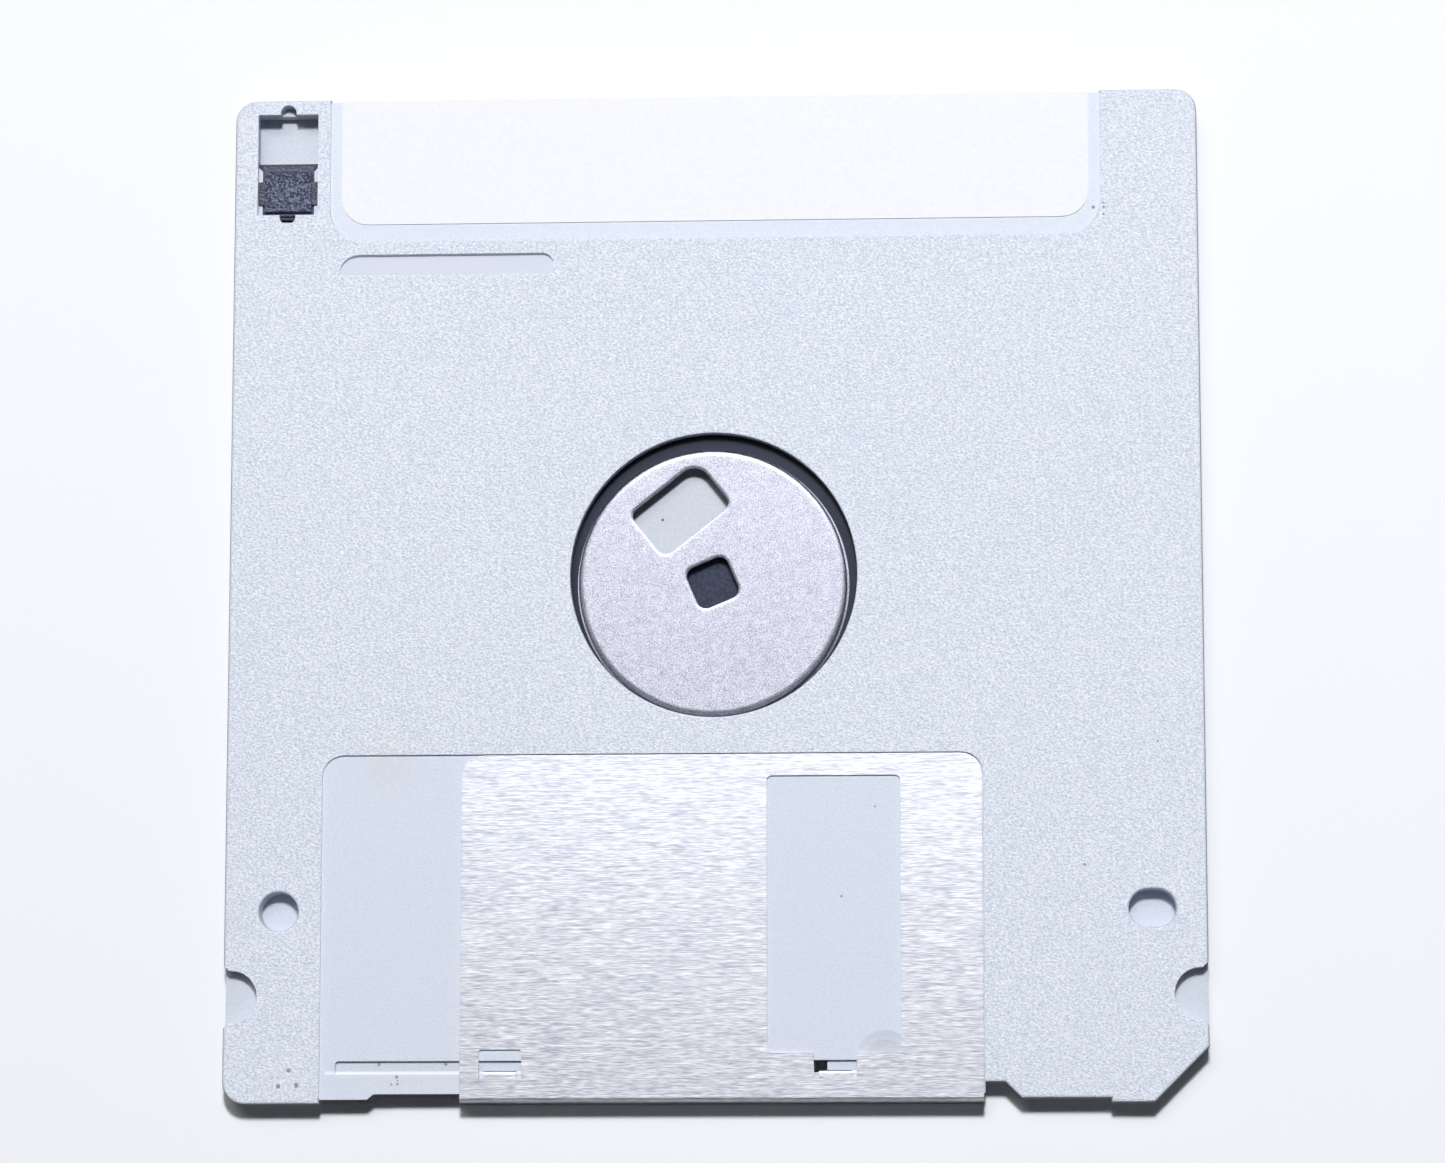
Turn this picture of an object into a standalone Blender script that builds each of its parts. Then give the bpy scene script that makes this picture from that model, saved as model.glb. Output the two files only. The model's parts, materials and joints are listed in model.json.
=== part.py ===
"""A 3.5 inch floppy disk lying with its hub side up and its shutter closed.

The frame has +X to the right, +Y towards the label's edge and +Z up, with the origin on the
surface it lies on, under the middle of the case. Depths of the two shells are measured inwards
from their own outer faces.
"""

import math

import bmesh
import bpy
from mathutils import Matrix

MM = 0.001

# Magnetic disk, which the case is built around
DISK_DIAMETER = 85.8 * MM
DISK_THICKNESS = 0.08 * MM
DISK_REST_X = -0.1 * MM
DISK_REST_Y = -0.72 * MM

# Case
SIDE_MARGIN = 2.1 * MM
REAR_MARGIN = 2.5 * MM
FRONT_MARGIN = 5.7 * MM
CASE_THICKNESS = 3.3 * MM
SHELL_WALL = 0.95 * MM
SIDE_WALL = 1.2 * MM
CORNER_RADIUS = 2.0 * MM
CORNER_CHAMFER = 5.0 * MM
EDGE_ROUNDING = 0.25 * MM
SEAM_GAP = 0.04 * MM
CHAMBER_PLAY = 1.0 * MM
CHAMBER_WALL = 0.9 * MM

# Front edge, which steps back under the shutter and beside it
FRONT_LEDGE_INSET = 8.9 * MM
FRONT_LEDGE = 0.4 * MM
SHUTTER_SEAT = 0.9 * MM
SEAT_LEAD_IN = 4.4 * MM
SEAT_SLOPE = 0.6 * MM
LEVER_NOTCH_WIDTH = 1.8 * MM
LEVER_NOTCH_SLOPE = 1.5 * MM
LEVER_NOTCH_DEPTH = 1.85 * MM

# Hub opening and the hub
HUB_OPENING_PLAY = 0.85 * MM
OPENING_ROUNDING = 0.12 * MM
OPENING_RIB_WIDTH = 0.9 * MM
OPENING_RIB_HEIGHT = 0.2 * MM
HUB_DIAMETER = 24.8 * MM
HUB_SHEET = 0.3 * MM
HUB_BEND = 0.45 * MM
HUB_RECESS = 0.4 * MM
HUB_FLANGE = 1.9 * MM
SPINDLE_HOLE = 4.1 * MM
SPINDLE_HOLE_ROUNDING = 0.9 * MM
SPINDLE_HOLE_TURN = math.radians(23.0)
DRIVE_SLOT_LENGTH = 8.0 * MM
DRIVE_SLOT_WIDTH = 5.2 * MM
DRIVE_SLOT_ROUNDING = 0.8 * MM
DRIVE_SLOT_END_ROUNDING = 1.6 * MM
DRIVE_SLOT_TURN = math.radians(38.5)
DRIVE_SLOT_ALONG = 1.95 * MM
DRIVE_SLOT_OUT = 7.27 * MM
PUNCHED_RIM = 0.12 * MM
DISK_HOLE_PLAY = 0.2 * MM
BOND_THICKNESS = 0.06 * MM
BOND_GAP = 0.02 * MM

# Liners, lifter and wear pad
LINER_THICKNESS = 0.2 * MM
LINER_HOLE_MARGIN = 2.7 * MM
LINER_EDGE = 1.0 * MM
LINER_WINDOW_MARGIN = 0.7 * MM
LIFTER_WIDTH = 12.0 * MM
LIFTER_LENGTH = 22.0 * MM
LIFTER_THICKNESS = 0.12 * MM
LIFTER_POCKET = 0.3 * MM
LIFTER_FOOT = 3.0 * MM
LIFTER_SPACE = 4.0 * MM
LIFTER_PLAY = 0.5 * MM
WEAR_PAD_DIAMETER = 8.0 * MM
WEAR_PAD_THICKNESS = 0.5 * MM
WEAR_PAD_ROUNDING = 0.12 * MM

# Shutter recess, head windows and guide groove, alike on both faces
RECESS_RIGHT = 24.7 * MM
RECESS_LENGTH = 32.0 * MM
RECESS_DEPTH = 0.28 * MM
RECESS_ROUNDING = 2.0 * MM
HEAD_WINDOW_WIDTH = 8.8 * MM
HEAD_WINDOW_LENGTH = 23.2 * MM
HEAD_WINDOW_FRONT = 6.0 * MM
HEAD_WINDOW_ROUNDING = 1.0 * MM
GROOVE_FRONT = 2.8 * MM
GROOVE_WIDTH = 1.1 * MM
GROOVE_DEPTH = 0.4 * MM
GROOVE_SLOPE = 0.35 * MM
GROOVE_ROUNDING = 0.3 * MM
GROOVE_END_PLAY = 1.25 * MM
RELIEF_WIDTH = 1.5 * MM
RAIL_FLOOR_INSET = 6.8 * MM
RAIL_FLOOR_DEPTH = 0.08 * MM
DIMPLE_RADIUS = 2.6 * MM
DIMPLE_DEPTH = 0.3 * MM
DIMPLE_FRONT = 4.0 * MM
DIMPLE_RIGHT = 1.5 * MM

# Shutter, a folded sheet with windows and tabs bent out of it
SHUTTER_WIDTH = 47.8 * MM
SHUTTER_LENGTH = 31.9 * MM
SHUTTER_SHEET = 0.2 * MM
SHUTTER_BEND = 0.5 * MM
SHUTTER_ROUNDING = 2.0 * MM
SHUTTER_PLAY = 0.03 * MM
SHUTTER_STOP_GAP = 0.1 * MM
SHUTTER_TRAVEL = 12.4 * MM
SHUTTER_END_GAP = 0.5 * MM
SHUTTER_WINDOW_WIDTH = 12.2 * MM
SHUTTER_WINDOW_LENGTH = 25.3 * MM
SHUTTER_WINDOW_FRONT = 4.6 * MM
SHUTTER_WINDOW_RIGHT = 7.5 * MM
SHUTTER_WINDOW_ROUNDING = 0.5 * MM
TAB_WIDTH = 3.0 * MM
TAB_SLIT = 0.45 * MM
TAB_HOLE_LENGTH = 2.2 * MM
TAB_HOLE_ROUNDING = 0.25 * MM
TAB_ROOT = 2.7 * MM
TAB_BEND = 0.3 * MM
TAB_REACH = 0.3 * MM
TAB_RIGHT = 13.5 * MM
TAB_LEFT = 3.7 * MM
TAB_UNDERCUT = 0.01 * MM
TAB_ANCHOR = 0.9 * MM
LUG_HEIGHT = 0.6 * MM
LUG_REACH = 2.9 * MM
LUG_SLOT_PLAY = 0.15 * MM

# Shutter spring, a torsion spring with its coil loose in the front left corner
WIRE_DIAMETER = 0.4 * MM
COIL_RADIUS = 2.5 * MM
COIL_PITCH = 0.42 * MM
COIL_TURNS = 2
COIL_INSET_X = 7.4 * MM
COIL_INSET_Y = 6.4 * MM
FIXED_LEG = 6.4 * MM
LEG_HOOK = 0.8 * MM
LEG_PLAY = 0.1 * MM

# Write protect window and the tab that slides in it
WINDOW_SIDE = 2.15 * MM
WINDOW_REAR = 1.35 * MM
WINDOW_WIDTH = 5.65 * MM
WINDOW_LENGTH = 9.65 * MM
WINDOW_NOTCH = 0.75 * MM
WINDOW_NOTCH_OUT = 0.15 * MM
LIGHT_HOLE_LENGTH = 4.3 * MM
RAIL_WIDTH = 0.4 * MM
RAIL_LENGTH = 4.7 * MM
RAIL_DEPTH = 0.6 * MM
SLIDER_LENGTH = 4.75 * MM
SLIDER_STRIP = 0.6 * MM
SLIDER_STRIP_DEPTH = 0.72 * MM
SLIDER_PAD_DEPTH = 0.3 * MM
SLIDER_PAD_INSET = 0.3 * MM
SLIDER_PAD_ROUNDING = 0.08 * MM
SLIDER_EAR_LENGTH = 2.2 * MM
SLIDER_EAR_FRONT = 1.0 * MM
SLIDER_EAR_THICKNESS = 0.2 * MM
SLIDER_LIP = 0.6 * MM
SLIDER_TOE = 0.3 * MM
SLIDER_PLAY = 0.05 * MM
SLIDER_END_PLAY = 0.1 * MM
WELL_WALL = 0.8 * MM
WELL_FLOOR = 0.5 * MM

# Locating holes, handling notches and weld pins
LOCATING_FRONT = 17.6 * MM
LOCATING_INSET = 5.0 * MM
ROUND_HOLE = 3.6 * MM
OBLONG_HOLE_LENGTH = 4.3 * MM
OBLONG_HOLE_WIDTH = 3.5 * MM
LOCATING_WALL = 0.6 * MM
LOCATING_END_GAP = 0.05 * MM
HOLE_ROUNDING = 0.2 * MM
NOTCH_RADIUS = 2.4 * MM
NOTCH_INSET = 0.7 * MM
NOTCH_FRONT = 9.8 * MM
NOTCH_FLARE = 0.5 * MM
NOTCH_WALL = 1.1 * MM
PIN_INSET = 12.0 * MM
PIN_FRONT = 12.2 * MM
PIN_REAR = 9.0 * MM
PIN_RADIUS = 0.8 * MM
PIN_PLAY = 0.1 * MM
PIN_HEIGHT = 0.8 * MM
BOSS_RADIUS = 1.6 * MM

# Label, one sheet folded round the rear edge, and the shallow seat for it
LABEL_WIDTH = 69.8 * MM
LABEL_SHEET = 0.1 * MM
LABEL_GAP = 0.02 * MM
LABEL_BEND = 0.11 * MM
LABEL_FLAP = 12.0 * MM
LABEL_FACE = 54.0 * MM
LABEL_ROUNDING = 2.5 * MM
LABEL_SEAT_DEPTH = 0.2 * MM
LABEL_SEAT_MARGIN = 1.1 * MM
LABEL_SEAT_END = 1.75 * MM
LABEL_SEAT_ROUNDING = 3.0 * MM
LABEL_SEAT_SLOPE = 0.35 * MM

# Finger ramp beside the label seat
RAMP_LEFT = 35.05 * MM
RAMP_RIGHT = 15.0 * MM
RAMP_REAR = 14.95 * MM
RAMP_WIDTH = 2.05 * MM
RAMP_DEPTH = 0.45 * MM
RAMP_LEFT_ROUNDING = 1.8 * MM
RAMP_RIGHT_ROUNDING = 1.0 * MM

# Places that follow from the sizes above
CASE_WIDTH = DISK_DIAMETER + 2 * SIDE_MARGIN
CASE_LENGTH = DISK_DIAMETER + FRONT_MARGIN + REAR_MARGIN
SIDE = CASE_WIDTH / 2
REAR = CASE_LENGTH / 2
FRONT = -REAR
OPENING_Y = (FRONT_MARGIN - REAR_MARGIN) / 2
MIDDLE = CASE_THICKNESS / 2
SEAT_Y = FRONT + SHUTTER_SEAT
CHAMBER_RADIUS = DISK_DIAMETER / 2 + CHAMBER_PLAY
DISK_X = DISK_REST_X
DISK_Y = OPENING_Y + DISK_REST_Y
PARTING_DEPTH = MIDDLE - SEAM_GAP / 2
HUB_OPENING = HUB_DIAMETER + 2 * HUB_OPENING_PLAY
LINER_HOLE = HUB_DIAMETER + 2 * (HUB_FLANGE + LINER_HOLE_MARGIN)
SHUTTER_RIGHT = RECESS_RIGHT - SHUTTER_STOP_GAP
SHUTTER_LEFT = SHUTTER_RIGHT - SHUTTER_WIDTH
RECESS_LEFT = SHUTTER_LEFT - SHUTTER_TRAVEL - SHUTTER_END_GAP
SHEET_DEPTH = RECESS_DEPTH - SHUTTER_PLAY - SHUTTER_SHEET
TAB_CENTRES = (SHUTTER_RIGHT - TAB_RIGHT, SHUTTER_LEFT + TAB_LEFT)
WINDOW_LEFT_X = -SIDE + WINDOW_SIDE
WINDOW_RIGHT_X = WINDOW_LEFT_X + WINDOW_WIDTH
WINDOW_REAR_Y = REAR - WINDOW_REAR
WINDOW_FRONT_Y = WINDOW_REAR_Y - WINDOW_LENGTH
WINDOW_MIDDLE_X = (WINDOW_LEFT_X + WINDOW_RIGHT_X) / 2

# Clear overlaps that make each cut run past its surface
PAST = 1.0 * MM
MOUTH_PAST = 0.25 * MM

# How finely curves are divided
FACET = math.radians(15.0)
FINE_FACET = math.radians(18.0)
COIL_FACET = math.radians(22.5)
ROUND_STEPS = 96
HIDDEN_STEPS = 60
HOLE_STEPS = 32
PIN_STEPS = 24
NOTCH_STEPS = 28

HUB_SIDE = "hub"
LABEL_SIDE = "label"


def collection(name, helper=False):
    made = bpy.data.collections.new(name)
    made.hide_render = helper
    bpy.context.scene.collection.children.link(made)
    return made


for old in list(bpy.data.objects):
    bpy.data.objects.remove(old)
PARTS = collection("floppy_disk")
CUTTERS = collection("cutters", helper=True)


# Outlines


def arc(x, y, radius, start, end, facet=FACET):
    """Points of an arc, its two ends included."""
    steps = max(1, round(abs(end - start) / facet))
    angles = (start + (end - start) * step / steps for step in range(steps + 1))
    return [(x + radius * math.cos(angle), y + radius * math.sin(angle)) for angle in angles]


def circle(x, y, radius, steps=ROUND_STEPS):
    return arc(x, y, radius, 0.0, math.tau, math.tau / steps)[:-1]


def rounded(corners):
    """An outline through (x, y, radius) corners, each rounded by its own radius."""
    points = []
    for index, (x, y, radius) in enumerate(corners):
        if not radius:
            points.append((x, y))
            continue
        before = corners[index - 1]
        after = corners[(index + 1) % len(corners)]
        inward = math.atan2(before[1] - y, before[0] - x)
        outward = math.atan2(after[1] - y, after[0] - x)
        turn = (outward - inward + math.pi) % math.tau - math.pi
        reach = radius / math.sin(abs(turn) / 2)
        middle = inward + turn / 2
        centre_x = x + reach * math.cos(middle)
        centre_y = y + reach * math.sin(middle)
        sweep = math.copysign(math.pi - abs(turn), turn)
        start = middle + math.pi + sweep / 2
        points += arc(centre_x, centre_y, radius, start, start - sweep)
    return points


def inset(corners, distance):
    """The corners of an anticlockwise outline with every edge moved inwards."""
    moved = []
    for index, (x, y, radius) in enumerate(corners):
        before = corners[index - 1]
        after = corners[(index + 1) % len(corners)]
        into = math.atan2(y - before[1], x - before[0])
        out = math.atan2(after[1] - y, after[0] - x)
        bend = math.sin(out - into)
        share = distance / (1.0 + math.cos(out - into))
        step_x = -share * (math.sin(into) + math.sin(out))
        step_y = share * (math.cos(into) + math.cos(out))
        kept = radius - math.copysign(distance, bend) if radius else 0.0
        moved.append((x + step_x, y + step_y, kept))
    return moved


def box_corners(left, front, right, rear, radius=0.0):
    return [(left, front, radius), (right, front, radius), (right, rear, radius), (left, rear, radius)]


def rectangle(left, front, right, rear, radius=0.0):
    return rounded(box_corners(left, front, right, rear, radius))


def stadium(x, y, length, width):
    reach, quarter = (length - width) / 2, math.pi / 2
    right = arc(x + reach, y, width / 2, -quarter, quarter)
    return right + arc(x - reach, y, width / 2, quarter, 3 * quarter)


def turned(outline, x, y, angle):
    """An outline about the origin, turned and then moved to its place."""
    cosine, sine = math.cos(angle), math.sin(angle)
    return [(x + u * cosine - v * sine, y + u * sine + v * cosine) for u, v in outline]


def corner_waste(x, y, radius, to_x, to_y):
    """What is trimmed off a square corner at (x, y), whose sheet lies towards to_x and to_y."""
    centre_x, centre_y = x + to_x * radius, y + to_y * radius
    start = math.atan2(0.0, -to_x)
    end = math.atan2(-to_y, 0.0)
    turn = (end - start + math.pi) % math.tau - math.pi
    far_x, far_y = x - to_x * PAST, y - to_y * PAST
    points = arc(centre_x, centre_y, radius, start, start + turn)
    return [(far_x, centre_y), *points, (centre_x, far_y), (far_x, far_y)]


# Solids


def add_object(name, mesh, home=PARTS):
    made = bpy.data.objects.new(name, mesh)
    home.objects.link(made)
    if home is CUTTERS:
        made.hide_render = True
        made.display_type = "WIRE"
    return made


def mesh_from_curve(name, curve, place=Matrix()):
    """The curve's solid as a mesh, with its caps welded to its sides."""
    guide = bpy.data.objects.new(name, curve)
    guide.matrix_world = place
    PARTS.objects.link(guide)
    bpy.context.view_layer.update()
    mesh = bpy.data.meshes.new_from_object(guide.evaluated_get(bpy.context.evaluated_depsgraph_get()))
    mesh.name = name
    bpy.data.objects.remove(guide)
    mesh.transform(place)
    body = bmesh.new()
    body.from_mesh(mesh)
    bmesh.ops.remove_doubles(body, verts=body.verts, dist=1e-7)
    bmesh.ops.recalc_face_normals(body, faces=body.faces)
    body.to_mesh(mesh)
    body.free()
    return mesh


def slab(name, outlines, low, high, home=PARTS, place=Matrix()):
    """Closed outlines, the inner ones being holes, as a plate between two heights."""
    curve = bpy.data.curves.new(name, "CURVE")
    curve.dimensions = "2D"
    curve.fill_mode = "BOTH"
    curve.extrude = (high - low) / 2
    for outline in outlines:
        spline = curve.splines.new("POLY")
        spline.points.add(len(outline) - 1)
        for point, (x, y) in zip(spline.points, outline):
            point.co = (x, y, 0.0, 1.0)
        spline.use_cyclic_u = True
    lift = Matrix.Translation((0.0, 0.0, (low + high) / 2))
    return add_object(name, mesh_from_curve(name, curve, place @ lift), home)


def cutter(name, outlines, low, high, place=Matrix()):
    return slab(name, outlines, low, high, CUTTERS, place)


def folded_strip(name, outline, left, right, home=PARTS):
    """An outline in Y and Z, drawn out along X."""
    along_x = Matrix(((0, 0, 1, 0), (1, 0, 0, 0), (0, 1, 0, 0), (0, 0, 0, 1)))
    return slab(name, [outline], left, right, home, along_x)


def level(side, depth):
    """The height of a depth measured inwards from one shell's outer face."""
    return CASE_THICKNESS - depth if side == HUB_SIDE else depth


def side_cutter(side, name, outlines, shallow, deep):
    low, high = sorted((level(side, shallow), level(side, deep)))
    return cutter(f"{side}_{name}", outlines, low, high)


def boolean(body, tool, operation):
    modifier = body.modifiers.new(tool.name, "BOOLEAN")
    modifier.operation = operation
    modifier.object = tool
    modifier.solver = "EXACT"


def cut(body, *tools):
    for tool in tools:
        boolean(body, tool, "DIFFERENCE")


def join(body, *tools):
    for tool in tools:
        boolean(body, tool, "UNION")


def loft(name, sections, home=PARTS):
    """A solid through (outline, height) sections that all have the same number of points."""
    shape = bmesh.new()
    loops = [[shape.verts.new((x, y, height)) for x, y in outline] for outline, height in sections]
    for lower, upper in zip(loops, loops[1:]):
        for index in range(len(lower)):
            shape.faces.new((lower[index - 1], lower[index], upper[index], upper[index - 1]))
    shape.faces.new(loops[0])
    shape.faces.new(loops[-1])
    bmesh.ops.recalc_face_normals(shape, faces=shape.faces)
    mesh = bpy.data.meshes.new(name)
    shape.to_mesh(mesh)
    shape.free()
    return add_object(name, mesh, home)


def rimmed_sections(outline_of, side, rim, end):
    """Sections of a hole whose mouth is rounded: outline_of(growth) gives its outline."""
    share = 1.0 - math.sqrt(0.5)
    flare = (1.0 - share) / share
    return [
        (outline_of(rim + MOUTH_PAST * flare), level(side, -MOUTH_PAST)),
        (outline_of(rim * share), level(side, rim * share)),
        (outline_of(0.0), level(side, rim)),
        (outline_of(0.0), level(side, end)),
    ]


def side_loft(side, name, sections):
    return loft(f"{side}_{name}", sections, CUTTERS)


def screw(name, profile, x, y, home=PARTS):
    """A closed profile of (radius, height) points, turned about a vertical axis."""
    count = len(profile)
    mesh = bpy.data.meshes.new(name)
    points = [(radius, 0.0, height) for radius, height in profile]
    mesh.from_pydata(points, [(index, (index + 1) % count) for index in range(count)], [])
    body = add_object(name, mesh, home)
    body.location = (x, y, 0.0)
    turn = body.modifiers.new("turn", "SCREW")
    turn.axis = "Z"
    turn.steps = ROUND_STEPS
    turn.render_steps = ROUND_STEPS
    turn.use_merge_vertices = True
    turn.merge_threshold = 1e-6
    return body


def finish(body, colour, roughness, metallic=0.0):
    """Gives a part its own material and smooth shading between its sharp edges."""
    material = bpy.data.materials.new(body.name)
    material.use_nodes = True
    shader = material.node_tree.nodes["Principled BSDF"]
    linear = [((part / 255 + 0.055) / 1.055) ** 2.4 for part in colour]
    shader.inputs["Base Color"].default_value = (*linear, 1.0)
    shader.inputs["Roughness"].default_value = roughness
    shader.inputs["Metallic"].default_value = metallic
    body.data.materials.append(material)
    body.data.shade_smooth()
    body.data.set_sharp_from_angle(angle=math.radians(30.0))
    return body


# Shells


def case_corners():
    """The case seen from the hub side, with the front edge stepped for the shutter."""
    ledge = FRONT + FRONT_LEDGE
    notch = FRONT + LEVER_NOTCH_DEPTH
    notch_right = RECESS_RIGHT + LEVER_NOTCH_WIDTH
    lead_in = RECESS_LEFT + SEAT_LEAD_IN
    ledge_right = SIDE - FRONT_LEDGE_INSET
    label_half = LABEL_WIDTH / 2 + LABEL_SEAT_MARGIN
    label_rear = REAR - LABEL_SEAT_DEPTH
    return [
        (-SIDE, FRONT, CORNER_RADIUS),
        (RECESS_LEFT, FRONT, 0.0),
        (RECESS_LEFT, ledge, 0.0),
        (lead_in, ledge, 0.0),
        (lead_in + SEAT_SLOPE, SEAT_Y, 0.0),
        (RECESS_RIGHT, SEAT_Y, 0.0),
        (RECESS_RIGHT, notch, 0.0),
        (notch_right, notch, 0.0),
        (notch_right + LEVER_NOTCH_SLOPE, ledge, 0.0),
        (ledge_right, ledge, 0.0),
        (ledge_right, FRONT, 0.0),
        (SIDE - CORNER_CHAMFER, FRONT, 0.0),
        (SIDE, FRONT + CORNER_CHAMFER, 0.0),
        (SIDE, REAR, CORNER_RADIUS),
        (label_half, REAR, 0.0),
        (label_half, label_rear, 0.0),
        (-label_half, label_rear, 0.0),
        (-label_half, REAR, 0.0),
        (-SIDE, REAR, CORNER_RADIUS),
    ]


def inside_outline():
    """The hollow of the case, one side wall inside its outline."""
    left, right = -SIDE + SIDE_WALL, SIDE - SIDE_WALL
    front, rear = SEAT_Y + SIDE_WALL, REAR - SIDE_WALL
    behind_notch = FRONT + LEVER_NOTCH_DEPTH + SIDE_WALL
    notch_left = RECESS_RIGHT - SIDE_WALL
    notch_right = RECESS_RIGHT + LEVER_NOTCH_WIDTH + LEVER_NOTCH_SLOPE + SIDE_WALL
    diagonal = SIDE - FRONT - CORNER_CHAMFER - SIDE_WALL * math.sqrt(2)
    return rounded(
        [
            (left, front, CORNER_RADIUS - SIDE_WALL),
            (notch_left, front, 0.0),
            (notch_left, behind_notch, 0.0),
            (notch_right, behind_notch, 0.0),
            (notch_right, front, 0.0),
            (diagonal + front, front, 0.0),
            (right, right - diagonal, 0.0),
            (right, rear, CORNER_RADIUS - SIDE_WALL),
            (left, rear, CORNER_RADIUS - SIDE_WALL),
        ]
    )


def pin_places():
    ends = (FRONT + PIN_FRONT, REAR - PIN_REAR)
    return [(side * (SIDE - PIN_INSET), y) for side in (-1, 1) for y in ends]


def round_hole(grown=0.0):
    return circle(-SIDE + LOCATING_INSET, FRONT + LOCATING_FRONT, ROUND_HOLE / 2 + grown, HOLE_STEPS)


def oblong_hole(grown=0.0):
    place = (SIDE - LOCATING_INSET, FRONT + LOCATING_FRONT)
    return stadium(*place, OBLONG_HOLE_LENGTH + 2 * grown, OBLONG_HOLE_WIDTH + 2 * grown)


def notch_outlines(grown=0.0):
    """The handling notches in the two sides."""
    y = FRONT + NOTCH_FRONT
    radius = NOTCH_RADIUS + grown
    flare = 0.0 if grown else NOTCH_FLARE
    outlines = []
    for side in (-1, 1):
        centre = side * (SIDE - NOTCH_INSET)
        round_end = arc(0.0, 0.0, radius, math.pi / 2, 3 * math.pi / 2)
        mouth = NOTCH_INSET - flare
        outer = NOTCH_INSET + PAST
        half = [(outer, radius + flare), (NOTCH_INSET, radius + flare), (mouth, radius)]
        shape = half + round_end + [(u, -v) for u, v in reversed(half)]
        outlines.append([(centre + side * u, y + v) for u, v in shape])
    return outlines


def well_outlines():
    """The guide wall around the write protect tab."""
    left, right = WINDOW_LEFT_X - SLIDER_LIP - SLIDER_END_PLAY, WINDOW_RIGHT_X + SLIDER_LIP + SLIDER_END_PLAY
    front = WINDOW_FRONT_Y - SLIDER_TOE - SLIDER_END_PLAY
    rear = REAR - SIDE_WALL
    outer = rectangle(-SIDE - PAST, front - WELL_WALL, right + WELL_WALL, REAR + PAST)
    inner = rectangle(left, front, right, rear)
    return [outer, inner]


def hollow_tools(side):
    """What is taken out of a shell's inner side: the corner pockets and the round chamber."""
    inner, open_side = SHELL_WALL, PARTING_DEPTH + PAST
    pockets = side_cutter(side, "pockets", [inside_outline()], inner, open_side)
    low, high = inner - PAST / 2, open_side + PAST
    kept = [circle(0.0, OPENING_Y, CHAMBER_RADIUS + CHAMBER_WALL, HIDDEN_STEPS)]
    kept += [circle(x, y, BOSS_RADIUS, PIN_STEPS) for x, y in pin_places()]
    kept += notch_outlines(NOTCH_WALL)
    for number, outline in enumerate(kept):
        cut(pockets, side_cutter(side, f"kept_{number}", [outline], low, high))
    cut(pockets, side_cutter(side, "kept_well", well_outlines(), low, high))
    round_space = [circle(0.0, OPENING_Y, CHAMBER_RADIUS, HIDDEN_STEPS)]
    chamber = side_cutter(side, "chamber", round_space, inner, open_side)
    return pockets, chamber


def lug_sides():
    """Where the spring lug stands, one sheet in from the shutter's left edge."""
    left = SHUTTER_LEFT + SHUTTER_SHEET
    return left, left + SHUTTER_SHEET


def shutter_tools(side):
    """The cuts that the shutter needs, alike on both shells."""
    recess = rounded(
        [
            (RECESS_LEFT, FRONT - PAST, 0.0),
            (RECESS_RIGHT, FRONT - PAST, 0.0),
            (RECESS_RIGHT, FRONT + RECESS_LENGTH, RECESS_ROUNDING),
            (RECESS_LEFT, FRONT + RECESS_LENGTH, RECESS_ROUNDING),
        ]
    )
    window_front = FRONT + HEAD_WINDOW_FRONT
    half = HEAD_WINDOW_WIDTH / 2
    window = rectangle(-half, window_front, half, window_front + HEAD_WINDOW_LENGTH, HEAD_WINDOW_ROUNDING)
    front = FRONT + GROOVE_FRONT
    right_tab, left_tab = TAB_CENTRES
    left = left_tab - TAB_WIDTH / 2 - SHUTTER_TRAVEL - GROOVE_END_PLAY
    right = right_tab + TAB_WIDTH / 2 + GROOVE_END_PLAY
    groove = [
        (rectangle(left, front - slope, right, front + GROOVE_WIDTH, GROOVE_ROUNDING), level(side, depth))
        for slope, depth in (
            (GROOVE_SLOPE, -PAST),
            (GROOVE_SLOPE, RECESS_DEPTH),
            (0.0, RECESS_DEPTH + GROOVE_DEPTH),
        )
    ]
    rail_rear = front + GROOVE_WIDTH / 2
    rail_floor = rectangle(RECESS_LEFT + RAIL_FLOOR_INSET, FRONT - PAST, RECESS_RIGHT, rail_rear)
    relief_right = right_tab - TAB_WIDTH / 2 + RELIEF_WIDTH / 2
    relief = rectangle(relief_right - RELIEF_WIDTH, front, relief_right, front + GROOVE_WIDTH)
    lug_left, lug_right = lug_sides()
    slot_left, slot_right = lug_left - SHUTTER_TRAVEL - LUG_SLOT_PLAY, lug_right + LUG_SLOT_PLAY
    lug_slot = rectangle(slot_left, FRONT - PAST, slot_right, SEAT_Y + SIDE_WALL + PAST)
    lug_depth = MIDDLE - LUG_HEIGHT / 2 - LUG_SLOT_PLAY
    return [
        side_cutter(side, "recess", [recess], -PAST, RECESS_DEPTH),
        side_cutter(side, "head_window", [window], -PAST, SHELL_WALL + PAST),
        side_cutter(side, "rail_floor", [rail_floor], -PAST, RECESS_DEPTH + RAIL_FLOOR_DEPTH),
        side_loft(side, "groove", groove),
        side_cutter(side, "groove_relief", [relief], -PAST, SHELL_WALL + PAST / 2),
        side_cutter(side, "lug_slot", [lug_slot], lug_depth, MIDDLE + PAST),
    ]


def dimple_tool(side):
    """A shallow dish in the recess floor, under the front right corner of the shutter's window."""
    x = SHUTTER_RIGHT - SHUTTER_WINDOW_RIGHT - DIMPLE_RIGHT
    y = FRONT + DIMPLE_FRONT
    steps = 5
    sections = []
    for step in range(-1, steps):
        share = step / steps
        depth = DIMPLE_DEPTH * (1.0 - (1.0 - share) ** 2) if step > 0 else DIMPLE_DEPTH * share
        outline = circle(x, y, DIMPLE_RADIUS * (1.0 - share), HOLE_STEPS)
        sections.append((outline, level(side, RECESS_DEPTH + depth)))
    return side_loft(side, "dimple", sections)


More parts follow.
